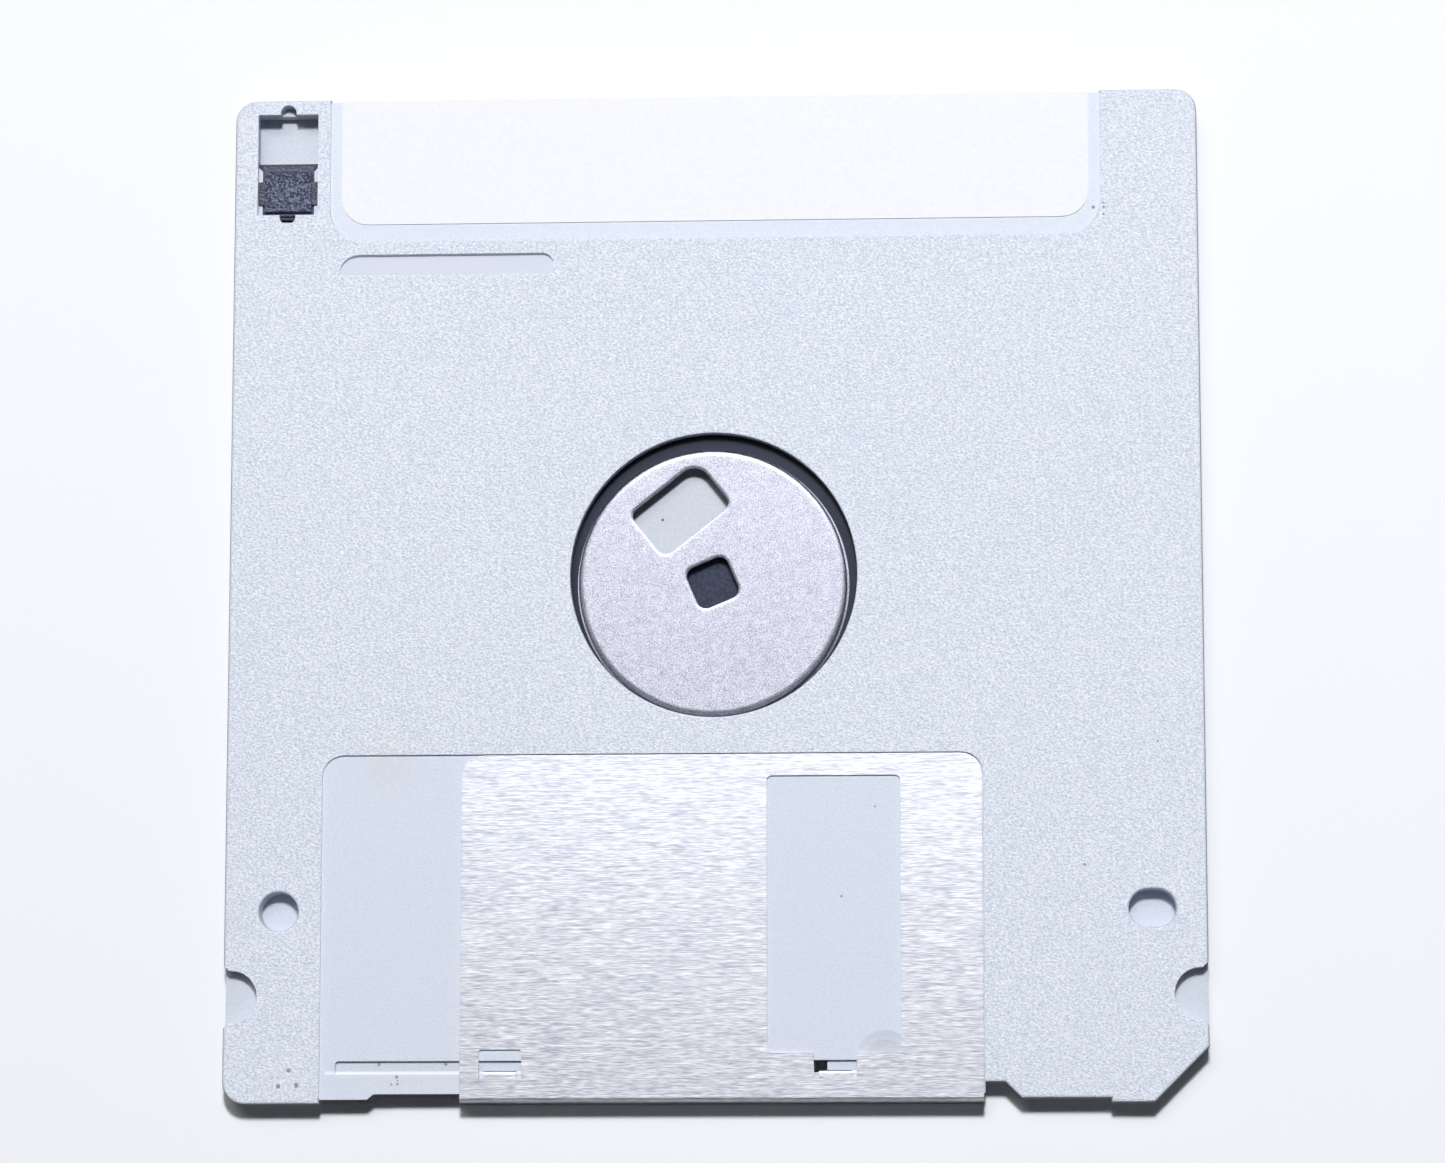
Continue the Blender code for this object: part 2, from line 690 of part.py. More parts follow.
def label_seat_tool(side, reach):
    """The shallow seat for the label, its front end sloping softly up to the face."""
    half = LABEL_WIDTH / 2 + LABEL_SEAT_MARGIN
    front = REAR - reach - LABEL_SEAT_END
    sections = []
    for depth in (-MOUTH_PAST, LABEL_SEAT_DEPTH):
        slope = LABEL_SEAT_SLOPE * depth / LABEL_SEAT_DEPTH
        seat = [
            (-half, front + slope, LABEL_SEAT_ROUNDING),
            (half, front + slope, LABEL_SEAT_ROUNDING),
            (half, REAR + PAST, 0.0),
            (-half, REAR + PAST, 0.0),
        ]
        sections.append((rounded(seat), level(side, depth)))
    return side_loft(side, "label_seat", sections)


def bare_shell(name, side):
    """A shell with what the two have in common."""
    share = 1.0 - math.sqrt(0.5)
    steps = [(1.0, 0.0), (share, share), (0.0, 1.0)]
    sections = [
        (rounded(inset(case_corners(), EDGE_ROUNDING * inward)), level(side, EDGE_ROUNDING * depth))
        for inward, depth in steps
    ]
    sections.append((rounded(case_corners()), level(side, PARTING_DEPTH)))
    shell = loft(name, sections)
    cut(shell, *hollow_tools(side), *shutter_tools(side))
    return shell


def window_tools():
    """The window in the hub side shell, which keeps a rail on each side of the tab."""
    whole = rectangle(WINDOW_LEFT_X, WINDOW_FRONT_Y, WINDOW_RIGHT_X, WINDOW_REAR_Y)
    rail_end = WINDOW_FRONT_Y + RAIL_LENGTH
    left, right = WINDOW_LEFT_X + RAIL_WIDTH, WINDOW_RIGHT_X - RAIL_WIDTH
    between = [
        (left, WINDOW_FRONT_Y),
        (right, WINDOW_FRONT_Y),
        (right, rail_end - RAIL_WIDTH),
        (WINDOW_RIGHT_X, rail_end),
        (WINDOW_RIGHT_X, WINDOW_REAR_Y),
        (WINDOW_LEFT_X, WINDOW_REAR_Y),
        (WINDOW_LEFT_X, rail_end),
        (left, rail_end - RAIL_WIDTH),
    ]
    through = SHELL_WALL + PAST / 2
    front_notch = circle(WINDOW_MIDDLE_X, WINDOW_FRONT_Y - WINDOW_NOTCH_OUT, WINDOW_NOTCH, NOTCH_STEPS)
    rear_notch = circle(WINDOW_MIDDLE_X, WINDOW_REAR_Y + WINDOW_NOTCH_OUT, WINDOW_NOTCH, NOTCH_STEPS)
    return [
        side_cutter(HUB_SIDE, "window", [whole], -PAST, RAIL_DEPTH),
        side_cutter(HUB_SIDE, "window_between_rails", [between], RAIL_DEPTH / 2, through),
        side_cutter(HUB_SIDE, "window_front_notch", [front_notch], -PAST, through),
        side_cutter(HUB_SIDE, "window_rear_notch", [rear_notch], -PAST, through),
    ]


def hub_side_shell():
    shell = bare_shell("hub_side_shell", HUB_SIDE)
    boss_end = CASE_THICKNESS - SHELL_WALL - LOCATING_END_GAP
    for number, outline_of in enumerate((round_hole, oblong_hole)):
        boss = [outline_of(LOCATING_WALL)]
        join(shell, side_cutter(HUB_SIDE, f"boss_{number}", boss, SHELL_WALL / 2, boss_end))
        hole = rimmed_sections(outline_of, HUB_SIDE, HOLE_ROUNDING, boss_end + PAST)
        cut(shell, side_loft(HUB_SIDE, f"locating_hole_{number}", hole))
    for number, outline in enumerate(notch_outlines()):
        cut(shell, side_cutter(HUB_SIDE, f"notch_{number}", [outline], -PAST, MIDDLE + PAST))
    for number, (x, y) in enumerate(pin_places()):
        socket = [circle(x, y, PIN_RADIUS + PIN_PLAY, PIN_STEPS)]
        end = MIDDLE - PIN_HEIGHT - PIN_PLAY
        cut(shell, side_cutter(HUB_SIDE, f"socket_{number}", socket, end, MIDDLE + PAST))
    rib = [hub_opening(OPENING_RIB_WIDTH)]
    join(shell, side_cutter(HUB_SIDE, "opening_rib", rib, SHELL_WALL / 2, SHELL_WALL + OPENING_RIB_HEIGHT))
    opening = rimmed_sections(hub_opening, HUB_SIDE, OPENING_ROUNDING, MIDDLE)
    cut(shell, side_loft(HUB_SIDE, "opening", opening), *window_tools())
    cut(shell, label_seat_tool(HUB_SIDE, LABEL_FLAP), finger_ramp_tool(), dimple_tool(HUB_SIDE))
    return finish(shell, (218, 225, 240), 0.45)


def hub_opening(grown=0.0):
    return circle(0.0, OPENING_Y, HUB_OPENING / 2 + grown)


def finger_ramp_tool():
    """A slab tilted about the front edge of the ramp, so that it sinks in towards the rear."""
    outline = rounded(
        [
            (-RAMP_LEFT, 0.0, 0.0),
            (-RAMP_RIGHT, 0.0, 0.0),
            (-RAMP_RIGHT, RAMP_WIDTH, RAMP_RIGHT_ROUNDING),
            (-RAMP_LEFT, RAMP_WIDTH, RAMP_LEFT_ROUNDING),
        ]
    )
    tilt = Matrix.Rotation(-math.atan2(RAMP_DEPTH, RAMP_WIDTH), 4, "X")
    front = REAR - RAMP_REAR - RAMP_WIDTH
    place = Matrix.Translation((0.0, front, CASE_THICKNESS)) @ tilt
    return cutter("finger_ramp", [outline], 0.0, PAST, place)


def label_side_shell():
    shell = bare_shell("label_side_shell", LABEL_SIDE)
    for number, (x, y) in enumerate(pin_places()):
        pin = [circle(x, y, PIN_RADIUS, PIN_STEPS)]
        join(shell, side_cutter(LABEL_SIDE, f"pin_{number}", pin, SHELL_WALL / 2, MIDDLE + PIN_HEIGHT))
    light_rear = WINDOW_FRONT_Y + LIGHT_HOLE_LENGTH
    light_hole = rectangle(WINDOW_LEFT_X, WINDOW_FRONT_Y, WINDOW_RIGHT_X, light_rear)
    well_floor = well_outlines()[1]
    cut(shell, side_cutter(LABEL_SIDE, "well_floor", [well_floor], WELL_FLOOR, MIDDLE))
    cut(shell, side_cutter(LABEL_SIDE, "light_hole", [light_hole], -PAST, SHELL_WALL))
    floor = SHELL_WALL - LIFTER_POCKET
    cut(shell, side_cutter(LABEL_SIDE, "lifter_pocket", [lifter_outline(LIFTER_PLAY)], floor, MIDDLE))
    cut(shell, label_seat_tool(LABEL_SIDE, LABEL_FACE), dimple_tool(LABEL_SIDE))
    return finish(shell, (218, 225, 240), 0.45)


# Disk and hub


def magnetic_disk():
    outer = circle(DISK_X, DISK_Y, DISK_DIAMETER / 2)
    inner = circle(DISK_X, DISK_Y, HUB_DIAMETER / 2 + DISK_HOLE_PLAY)
    low = MIDDLE - DISK_THICKNESS / 2
    return finish(slab("magnetic_disk", [outer, inner], low, low + DISK_THICKNESS), (48, 53, 66), 0.3)


def adhesive_ring():
    high = MIDDLE - DISK_THICKNESS / 2 - BOND_GAP
    outer = circle(DISK_X, DISK_Y, HUB_DIAMETER / 2 + HUB_FLANGE - BOND_GAP, HIDDEN_STEPS)
    inner = circle(DISK_X, DISK_Y, HUB_DIAMETER / 2 + DISK_HOLE_PLAY + BOND_GAP, HIDDEN_STEPS)
    body = slab("hub_adhesive_ring", [outer, inner], high - BOND_THICKNESS, high)
    return finish(body, (196, 180, 132), 0.6)


def hub():
    """A drawn steel cup: a flat face, a short wall and a flange under the disk."""
    top = CASE_THICKNESS - HUB_RECESS
    radius, sheet = HUB_DIAMETER / 2, HUB_SHEET
    flange_top = MIDDLE - DISK_THICKNESS / 2 - BOND_THICKNESS - 2 * BOND_GAP
    rim = radius + HUB_FLANGE
    inner_bend = HUB_BEND - sheet
    core = SPINDLE_HOLE / 4
    outside = arc(radius - HUB_BEND, top - HUB_BEND, HUB_BEND, math.pi / 2, 0.0, FINE_FACET)
    inside = arc(radius - HUB_BEND, top - HUB_BEND, inner_bend, 0.0, math.pi / 2, 2 * FINE_FACET)
    profile = [(core, top), *outside, (radius, flange_top), (rim, flange_top), (rim, flange_top - sheet)]
    profile += [(radius - sheet, flange_top - sheet), *inside, (core, top - sheet)]
    body = screw("hub", profile, DISK_X, DISK_Y)
    for name, outline_of in hub_holes().items():
        hole = rimmed_sections(outline_of, HUB_SIDE, PUNCHED_RIM, PAST)
        low_hole = [(outline, height - HUB_RECESS) for outline, height in hole]
        cut(body, loft(f"hub_{name}", low_hole, CUTTERS))
    return finish(body, (214, 217, 232), 0.35, 1.0)


def hub_holes():
    """The two punched holes, as outlines that can be grown for their rolled rims."""

    def spindle_hole(grown):
        half = SPINDLE_HOLE / 2 + grown
        square = rectangle(-half, -half, half, half, SPINDLE_HOLE_ROUNDING + grown)
        return turned(square, 0.0, 0.0, SPINDLE_HOLE_TURN)

    def drive_slot(grown):
        u, v = DRIVE_SLOT_LENGTH / 2 + grown, DRIVE_SLOT_WIDTH / 2 + grown
        small, large = DRIVE_SLOT_ROUNDING + grown, DRIVE_SLOT_END_ROUNDING + grown
        slot = rounded([(-u, -v, small), (u, -v, small), (u, v, large), (-u, v, small)])
        cosine, sine = math.cos(DRIVE_SLOT_TURN), math.sin(DRIVE_SLOT_TURN)
        x = DRIVE_SLOT_ALONG * cosine - DRIVE_SLOT_OUT * sine
        y = DRIVE_SLOT_ALONG * sine + DRIVE_SLOT_OUT * cosine
        return turned(slot, x, y, DRIVE_SLOT_TURN)

    def placed(outline):
        return lambda grown: [(DISK_X + x, DISK_Y + y) for x, y in outline(grown)]

    return {"spindle_hole": placed(spindle_hole), "drive_slot": placed(drive_slot)}


# Liners, lifter and wear pad


def liner(side):
    """A soft fabric ring bonded to a shell, open where the heads come in."""
    name = f"{side}_side_liner"
    bonded = SHELL_WALL + BOND_GAP
    low, high = sorted((level(side, bonded), level(side, bonded + LINER_THICKNESS)))
    outer = circle(0.0, OPENING_Y, CHAMBER_RADIUS - LINER_EDGE, HIDDEN_STEPS)
    body = slab(name, [outer, circle(0.0, OPENING_Y, LINER_HOLE / 2, HIDDEN_STEPS)], low, high)
    half = HEAD_WINDOW_WIDTH / 2 + LINER_WINDOW_MARGIN
    front = FRONT + HEAD_WINDOW_FRONT - LINER_WINDOW_MARGIN
    rear = front + HEAD_WINDOW_LENGTH + 2 * LINER_WINDOW_MARGIN
    slot = rectangle(-half, front - CHAMBER_PLAY, half, rear, HEAD_WINDOW_ROUNDING)
    cut(body, cutter(f"{name}_slot", [slot], low - PAST / 2, high + PAST / 2))
    return finish(body, (236, 236, 232), 0.9)


def lifter_outline(grown=0.0):
    right = -HEAD_WINDOW_WIDTH / 2 - LIFTER_SPACE
    front = FRONT + HEAD_WINDOW_FRONT + grown
    return rectangle(right - LIFTER_WIDTH - grown, front - 2 * grown, right + grown, front + LIFTER_LENGTH)


def liner_lifter():
    """A leaf bonded by its foot in a pocket, its free end bent up against the liner."""
    floor = SHELL_WALL - LIFTER_POCKET + BOND_GAP
    top = SHELL_WALL - BOND_GAP - LIFTER_THICKNESS
    right = -HEAD_WINDOW_WIDTH / 2 - LIFTER_SPACE
    left = right - LIFTER_WIDTH
    front = FRONT + HEAD_WINDOW_FRONT
    rear = front + LIFTER_LENGTH - LIFTER_PLAY
    foot, knee = left + LIFTER_FOOT, (left + right) / 2 + LIFTER_FOOT
    stations = [(left, floor), (foot, floor), (knee, top), (right, top)]
    shape = bmesh.new()
    rows = [[shape.verts.new((x, y, z)) for x, z in stations] for y in (front, rear)]
    for near, far in zip(zip(*rows), list(zip(*rows))[1:]):
        shape.faces.new((near[0], far[0], far[1], near[1]))
    mesh = bpy.data.meshes.new("liner_lifter")
    shape.to_mesh(mesh)
    shape.free()
    body = add_object("liner_lifter", mesh)
    leaf = body.modifiers.new("leaf", "SOLIDIFY")
    leaf.thickness = LIFTER_THICKNESS
    leaf.offset = 1.0
    return finish(body, (150, 158, 170), 0.35)


def wear_pad():
    low = SHELL_WALL + BOND_GAP
    high = low + WEAR_PAD_THICKNESS
    steps = ((0.0, low), (0.0, high - WEAR_PAD_ROUNDING), (WEAR_PAD_ROUNDING, high))
    radius = WEAR_PAD_DIAMETER / 2
    sections = [(circle(0.0, OPENING_Y, radius - inward, HIDDEN_STEPS), height) for inward, height in steps]
    body = loft("wear_pad", sections)
    return finish(body, (56, 62, 76), 0.5)


# Shutter and its spring


def folded_sheet(top, bottom, edge, top_end, bottom_end, sheet, bend):
    """A sheet folded round an edge, as an outline in Y and Z. The ends may lie on either side."""
    away = math.copysign(1.0, top_end - edge)
    centre = edge + away * bend
    middle = math.pi if away > 0 else 0.0
    quarter = math.copysign(math.pi / 2, away)
    upper, lower = (centre, top - bend), (centre, bottom + bend)
    outside = arc(*upper, bend, middle - quarter, middle, FINE_FACET)
    outside += arc(*lower, bend, middle, middle + quarter, FINE_FACET)
    inside = arc(*lower, bend - sheet, middle + quarter, middle, FINE_FACET)
    inside += arc(*upper, bend - sheet, middle, middle - quarter, FINE_FACET)
    outside = [(top_end, top), *outside, (bottom_end, bottom)]
    return outside + [(bottom_end, bottom + sheet), *inside, (top_end, top - sheet)]


def bent_tab(side, number, centre):
    """A tab bent out of the sheet at the front edge of its hole, down into the guide groove."""
    root = FRONT + TAB_ROOT
    outer = SHEET_DEPTH + TAB_UNDERCUT
    inner = SHEET_DEPTH + SHUTTER_SHEET - TAB_UNDERCUT
    sheet = inner - outer
    tip = SHEET_DEPTH + SHUTTER_SHEET + TAB_REACH
    bend = arc(root, outer + TAB_BEND, TAB_BEND, -math.pi / 2, 0.0)
    back = arc(root, outer + TAB_BEND, TAB_BEND - sheet, 0.0, -math.pi / 2)
    outline = [(root - TAB_ANCHOR, outer), *bend, (root + TAB_BEND, tip)]
    outline += [(root + TAB_BEND - sheet, tip), *back, (root - TAB_ANCHOR, inner)]
    placed = [(y, level(side, depth)) for y, depth in outline]
    half = TAB_WIDTH / 2
    return folded_strip(f"{side}_tab_{number}", placed, centre - half, centre + half, CUTTERS)


def shutter():
    """One folded sheet with a window in each leaf, and guide tabs and a spring lug bent inwards."""
    top, bottom = CASE_THICKNESS - SHEET_DEPTH, SHEET_DEPTH
    rear = FRONT + SHUTTER_LENGTH
    fold = folded_sheet(top, bottom, FRONT, rear, rear, SHUTTER_SHEET, SHUTTER_BEND)
    body = folded_strip("shutter", fold, SHUTTER_LEFT, SHUTTER_RIGHT)
    low, high = -PAST, CASE_THICKNESS + PAST
    for name, x, to_x in (("left", SHUTTER_LEFT, 1), ("right", SHUTTER_RIGHT, -1)):
        waste = corner_waste(x, rear, SHUTTER_ROUNDING, to_x, -1)
        cut(body, cutter(f"shutter_{name}_corner", [waste], low, high))
    window_right = SHUTTER_RIGHT - SHUTTER_WINDOW_RIGHT
    window_front = FRONT + SHUTTER_WINDOW_FRONT
    window = rectangle(
        window_right - SHUTTER_WINDOW_WIDTH, window_front, window_right,
        window_front + SHUTTER_WINDOW_LENGTH, SHUTTER_WINDOW_ROUNDING,
    )
    cut(body, cutter("shutter_window", [window], low, high))
    root = FRONT + TAB_ROOT
    for number, centre in enumerate(TAB_CENTRES):
        half = TAB_WIDTH / 2
        hole = rounded(
            [
                (centre - half - TAB_SLIT, root - TAB_SLIT, 0.0),
                (centre - half, root - TAB_SLIT, 0.0),
                (centre - half, root, 0.0),
                (centre + half, root, 0.0),
                (centre + half, root - TAB_SLIT, 0.0),
                (centre + half + TAB_SLIT, root - TAB_SLIT, 0.0),
                (centre + half + TAB_SLIT, root + TAB_HOLE_LENGTH, TAB_HOLE_ROUNDING),
                (centre - half - TAB_SLIT, root + TAB_HOLE_LENGTH, TAB_HOLE_ROUNDING),
            ]
        )
        cut(body, cutter(f"shutter_tab_hole_{number}", [hole], low, high))
        join(body, bent_tab(HUB_SIDE, number, centre), bent_tab(LABEL_SIDE, number, centre))
    web = FRONT + SHUTTER_SHEET / 2
    lug_left, lug_right = lug_sides()
    lug = rectangle(lug_left, web, lug_right, web + LUG_REACH)
    join(body, cutter("shutter_lug", [lug], MIDDLE - LUG_HEIGHT / 2, MIDDLE + LUG_HEIGHT / 2))
    return finish(body, (227, 232, 244), 0.3, 1.0)


def spring_route():
    """The wire's centre line: fixed leg, coil, moving leg and hook."""
    coil_x, coil_y = -SIDE + COIL_INSET_X, FRONT + COIL_INSET_Y
    hook_x = lug_sides()[0] - WIRE_DIAMETER / 2 - LEG_PLAY
    hook_y = FRONT + LUG_REACH + WIRE_DIAMETER
    reach = math.hypot(hook_x - coil_x, hook_y - coil_y)
    leave = math.atan2(hook_y - coil_y, hook_x - coil_x) - math.acos(COIL_RADIUS / reach)
    start = math.pi
    end = leave + math.tau
    while end < start:
        end += math.tau
    end += COIL_TURNS * math.tau
    height = COIL_PITCH * (end - start) / math.tau
    low = MIDDLE - height / 2
    route = [(coil_x - COIL_RADIUS, coil_y + FIXED_LEG * part, low) for part in (1.0, 0.5)]
    steps = round((end - start) / COIL_FACET)
    for step in range(steps + 1):
        share = step / steps
        angle = start + (end - start) * share
        x = coil_x + COIL_RADIUS * math.cos(angle)
        y = coil_y + COIL_RADIUS * math.sin(angle)
        route.append((x, y, low + height * share))
    last = route[-1]
    for share in (0.5, 1.0):
        route.append(
            (
                last[0] + (hook_x - last[0]) * share,
                last[1] + (hook_y - last[1]) * share,
                last[2] + (MIDDLE - last[2]) * share,
            )
        )
    route.append((hook_x, hook_y - LEG_HOOK, MIDDLE))
    return route


def shutter_spring():
    curve = bpy.data.curves.new("shutter_spring", "CURVE")
    curve.dimensions = "3D"
    curve.bevel_depth = WIRE_DIAMETER / 2
    curve.bevel_resolution = 2
    curve.use_fill_caps = True
    route = spring_route()
    spline = curve.splines.new("POLY")
    spline.points.add(len(route) - 1)
    for point, place in zip(spline.points, route):
        point.co = (*place, 1.0)
    body = add_object("shutter_spring", mesh_from_curve("shutter_spring", curve))
    return finish(body, (150, 152, 158), 0.3, 1.0)


# Write protect tab


def write_protect_tab():
    """A slider whose wide foot runs inside the case and whose pad shows in the window."""

    def block(name, left, front, right, rear, shallow, deep):
        return side_cutter(HUB_SIDE, f"slider_{name}", [rectangle(left, front, right, rear)], shallow, deep)

    left, right = WINDOW_LEFT_X + RAIL_WIDTH + SLIDER_PLAY, WINDOW_RIGHT_X - RAIL_WIDTH - SLIDER_PLAY
    front = WINDOW_FRONT_Y + SLIDER_PLAY
    rear = front + SLIDER_LENGTH
    foot_top, foot_bottom = SHELL_WALL + SLIDER_PLAY, CASE_THICKNESS - WELL_FLOOR - SLIDER_PLAY
    foot = rectangle(
        WINDOW_LEFT_X - SLIDER_LIP, front - SLIDER_TOE, WINDOW_RIGHT_X + SLIDER_LIP, rear + SLIDER_TOE
    )
    low, high = sorted((level(HUB_SIDE, foot_top), level(HUB_SIDE, foot_bottom)))
    body = slab("write_protect_tab", [foot], low, high)
    join(body, block("body", left, front, right, rear, SLIDER_STRIP_DEPTH, MIDDLE))
    margin = SLIDER_PAD_INSET / 2
    pad_corners = box_corners(left + margin, front + SLIDER_PAD_INSET, right - margin, rear - SLIDER_STRIP)
    rim = SLIDER_PAD_ROUNDING
    steps = ((rim, SLIDER_PAD_DEPTH), (0.0, SLIDER_PAD_DEPTH + rim), (0.0, SLIDER_STRIP_DEPTH + rim))
    pad_sections = [(rounded(inset(pad_corners, inward)), level(HUB_SIDE, depth)) for inward, depth in steps]
    pad = side_loft(HUB_SIDE, "slider_pad", pad_sections)
    ear_front = front + SLIDER_EAR_FRONT
    ear_bottom = RAIL_DEPTH - SLIDER_PLAY
    ears_left, ears_right = WINDOW_LEFT_X + SLIDER_PLAY, WINDOW_RIGHT_X - SLIDER_PLAY
    ears = block(
        "ears", ears_left, ear_front, ears_right, ear_front + SLIDER_EAR_LENGTH,
        ear_bottom - SLIDER_EAR_THICKNESS, ear_bottom,
    )
    join(body, pad, ears)
    return finish(body, (60, 66, 84), 0.5)


# Label


def label():
    """A paper label folded round the rear edge, long on the face that lies down."""
    top, bottom = CASE_THICKNESS - LABEL_SEAT_DEPTH, LABEL_SEAT_DEPTH
    out = LABEL_GAP + LABEL_SHEET
    edge = REAR - LABEL_SEAT_DEPTH + out
    flap, face = REAR - LABEL_FLAP, REAR - LABEL_FACE
    fold = folded_sheet(top + out, bottom - out, edge, flap, face, LABEL_SHEET, LABEL_BEND)
    half = LABEL_WIDTH / 2
    body = folded_strip("label", fold, -half, half)
    for name, y, low, high in (("flap", flap, MIDDLE, CASE_THICKNESS + PAST), ("face", face, -PAST, MIDDLE)):
        for x, to_x in ((-half, 1), (half, -1)):
            waste = corner_waste(x, y, LABEL_ROUNDING, to_x, 1)
            cut(body, cutter(f"label_{name}_corner_{to_x}", [waste], low, high))
    return finish(body, (249, 250, 254), 0.85)


# Assembly


def on_axis(name, place, *bodies):
    """Hangs moving pieces on an empty that stands on their joint's axis."""
    axis = bpy.data.objects.new(name, None)
    axis.location = place
    PARTS.objects.link(axis)
    for body in bodies:
        body.parent = axis
        body.matrix_parent_inverse = Matrix.Translation(place).inverted()


def build():
    hub_side_shell()
    label_side_shell()
    liner(HUB_SIDE)
    liner(LABEL_SIDE)
    liner_lifter()
    wear_pad()
    label()
    shutter_spring()
    on_axis("disk_axis", (DISK_X, DISK_Y, MIDDLE), magnetic_disk(), hub(), adhesive_ring())
    on_axis("shutter_axis", ((SHUTTER_LEFT + SHUTTER_RIGHT) / 2, SEAT_Y, MIDDLE), shutter())
    on_axis("write_protect_axis", (WINDOW_MIDDLE_X, WINDOW_FRONT_Y, MIDDLE), write_protect_tab())


build()
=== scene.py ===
"""Looks for the floppy disk: materials, finer metalwork, floor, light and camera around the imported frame."""

import json
import math

import bmesh
import bpy
from mathutils import Matrix, Vector

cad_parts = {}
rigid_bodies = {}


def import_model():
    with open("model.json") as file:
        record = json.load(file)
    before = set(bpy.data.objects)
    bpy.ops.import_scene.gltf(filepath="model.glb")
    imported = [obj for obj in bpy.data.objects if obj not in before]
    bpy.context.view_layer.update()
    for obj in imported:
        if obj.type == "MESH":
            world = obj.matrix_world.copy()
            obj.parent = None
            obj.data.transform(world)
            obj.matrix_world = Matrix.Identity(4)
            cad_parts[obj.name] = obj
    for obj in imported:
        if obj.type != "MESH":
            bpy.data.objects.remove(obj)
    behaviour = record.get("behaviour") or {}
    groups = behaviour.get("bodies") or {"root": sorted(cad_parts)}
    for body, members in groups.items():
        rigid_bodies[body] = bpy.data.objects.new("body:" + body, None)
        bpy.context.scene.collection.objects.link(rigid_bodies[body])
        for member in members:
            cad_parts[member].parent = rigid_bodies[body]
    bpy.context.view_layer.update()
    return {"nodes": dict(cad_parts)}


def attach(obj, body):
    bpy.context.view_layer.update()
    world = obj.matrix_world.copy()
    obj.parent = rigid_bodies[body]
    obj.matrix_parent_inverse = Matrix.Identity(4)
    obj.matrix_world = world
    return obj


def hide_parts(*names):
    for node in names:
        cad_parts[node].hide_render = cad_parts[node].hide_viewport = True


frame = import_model()

MM = 0.001
IMAGE_WIDTH = 1445

# Camera, as the photograph was taken
CAMERA_PLACE = (0.02637, -0.06781, 0.45871)
CAMERA_AIM = (0.00065, 0.00141, 0.0)
CAMERA_FOCUS_PIXELS = 5000.0
SENSOR_WIDTH = 36.0

# A lamp, tilted from upright towards the rear and turned to the right
LAMP_TILT = math.radians(18.5)
LAMP_TURN = math.radians(8.5)
LAMP_DISTANCE = 0.65
LAMP_SIZE = 0.075
LAMP_POWER = 3.36
# The sky's own light, and the light it adds low down, which fades between two heights of a direction
AMBIENT = 0.022
HORIZON_LIGHT = 0.95
HORIZON_HEIGHTS = (0.06, 0.22)
# The window's slopes to the rear and to the side: where it starts, is full, starts to fade and ends
WINDOW_LIGHT = 4.6
WINDOW_REAR = (0.24, 0.36, 0.40, 0.95)
WINDOW_SIDE = (-0.60, -0.35, 0.05, 0.30)
# What metal mirrors: a dim ceiling, paler walls that end between two heights, and a bright patch,
# with the angles from its middle at which it ends and is full
SHINE = 0.2
LOW_SHINE = 0.45
LOW_SHINE_HEIGHTS = (0.60, 0.85)
SHINE_LIGHT = 6.2
SHINE_TILT = math.radians(31.0)
SHINE_EDGES = (math.radians(25.0), math.radians(9.0))

# Floor: how far it reaches, and where it starts to fade to white and over what width
FLOOR_HALF = 0.6
FLOOR_FADE = (0.085, 0.13)

# Hub, as the frame has it
HUB_X = -0.1 * MM
HUB_Y = 0.88 * MM
HUB_TOP = 2.9 * MM
HUB_RADIUS = 12.4 * MM
HUB_SHEET = 0.3 * MM
HUB_BEND = 0.45 * MM
HUB_FLANGE = 1.9 * MM
HUB_FLANGE_TOP = 1.51 * MM
# The rolled rims round the holes and the outer edge: how wide, and how far they drop
HUB_RIM = 0.3 * MM
HUB_RIM_DROP = 0.055 * MM
HUB_EDGE = 0.35 * MM
HUB_EDGE_DROP = 0.045 * MM
HUB_EDGE_BEND = 0.3 * MM
HUB_STEPS = 240
# The cup is turned from this radius outwards, as the spindle hole takes away what lies inside it
HUB_CORE = 1.0 * MM
# The tools that cut the holes reach below the face, above it, and flare past their rims
TOOL_DEPTH = 1.0 * MM
TOOL_ABOVE = 0.1 * MM
TOOL_FLARE = 0.4 * MM
# Places across a rolled rim, from where it starts to where it ends
SHARES = [step / 8 for step in range(9)]
SPINDLE_HOLE = 4.1 * MM
SPINDLE_HOLE_ROUNDING = 0.9 * MM
SPINDLE_HOLE_TURN = math.radians(23.0)
DRIVE_SLOT = (8.0 * MM, 5.2 * MM)
DRIVE_SLOT_ROUNDINGS = (0.8 * MM, 0.8 * MM, 1.6 * MM, 0.8 * MM)
DRIVE_SLOT_TURN = math.radians(38.5)
DRIVE_SLOT_ALONG = 1.95 * MM
DRIVE_SLOT_OUT = 7.27 * MM

# The height at which the two shells meet
MIDDLE = 1.65 * MM


def srgb(red, green, blue):
    """An 8-bit colour as linear values."""
    linear = [((part / 255 + 0.055) / 1.055) ** 2.4 for part in (red, green, blue)]
    return (*linear, 1.0)


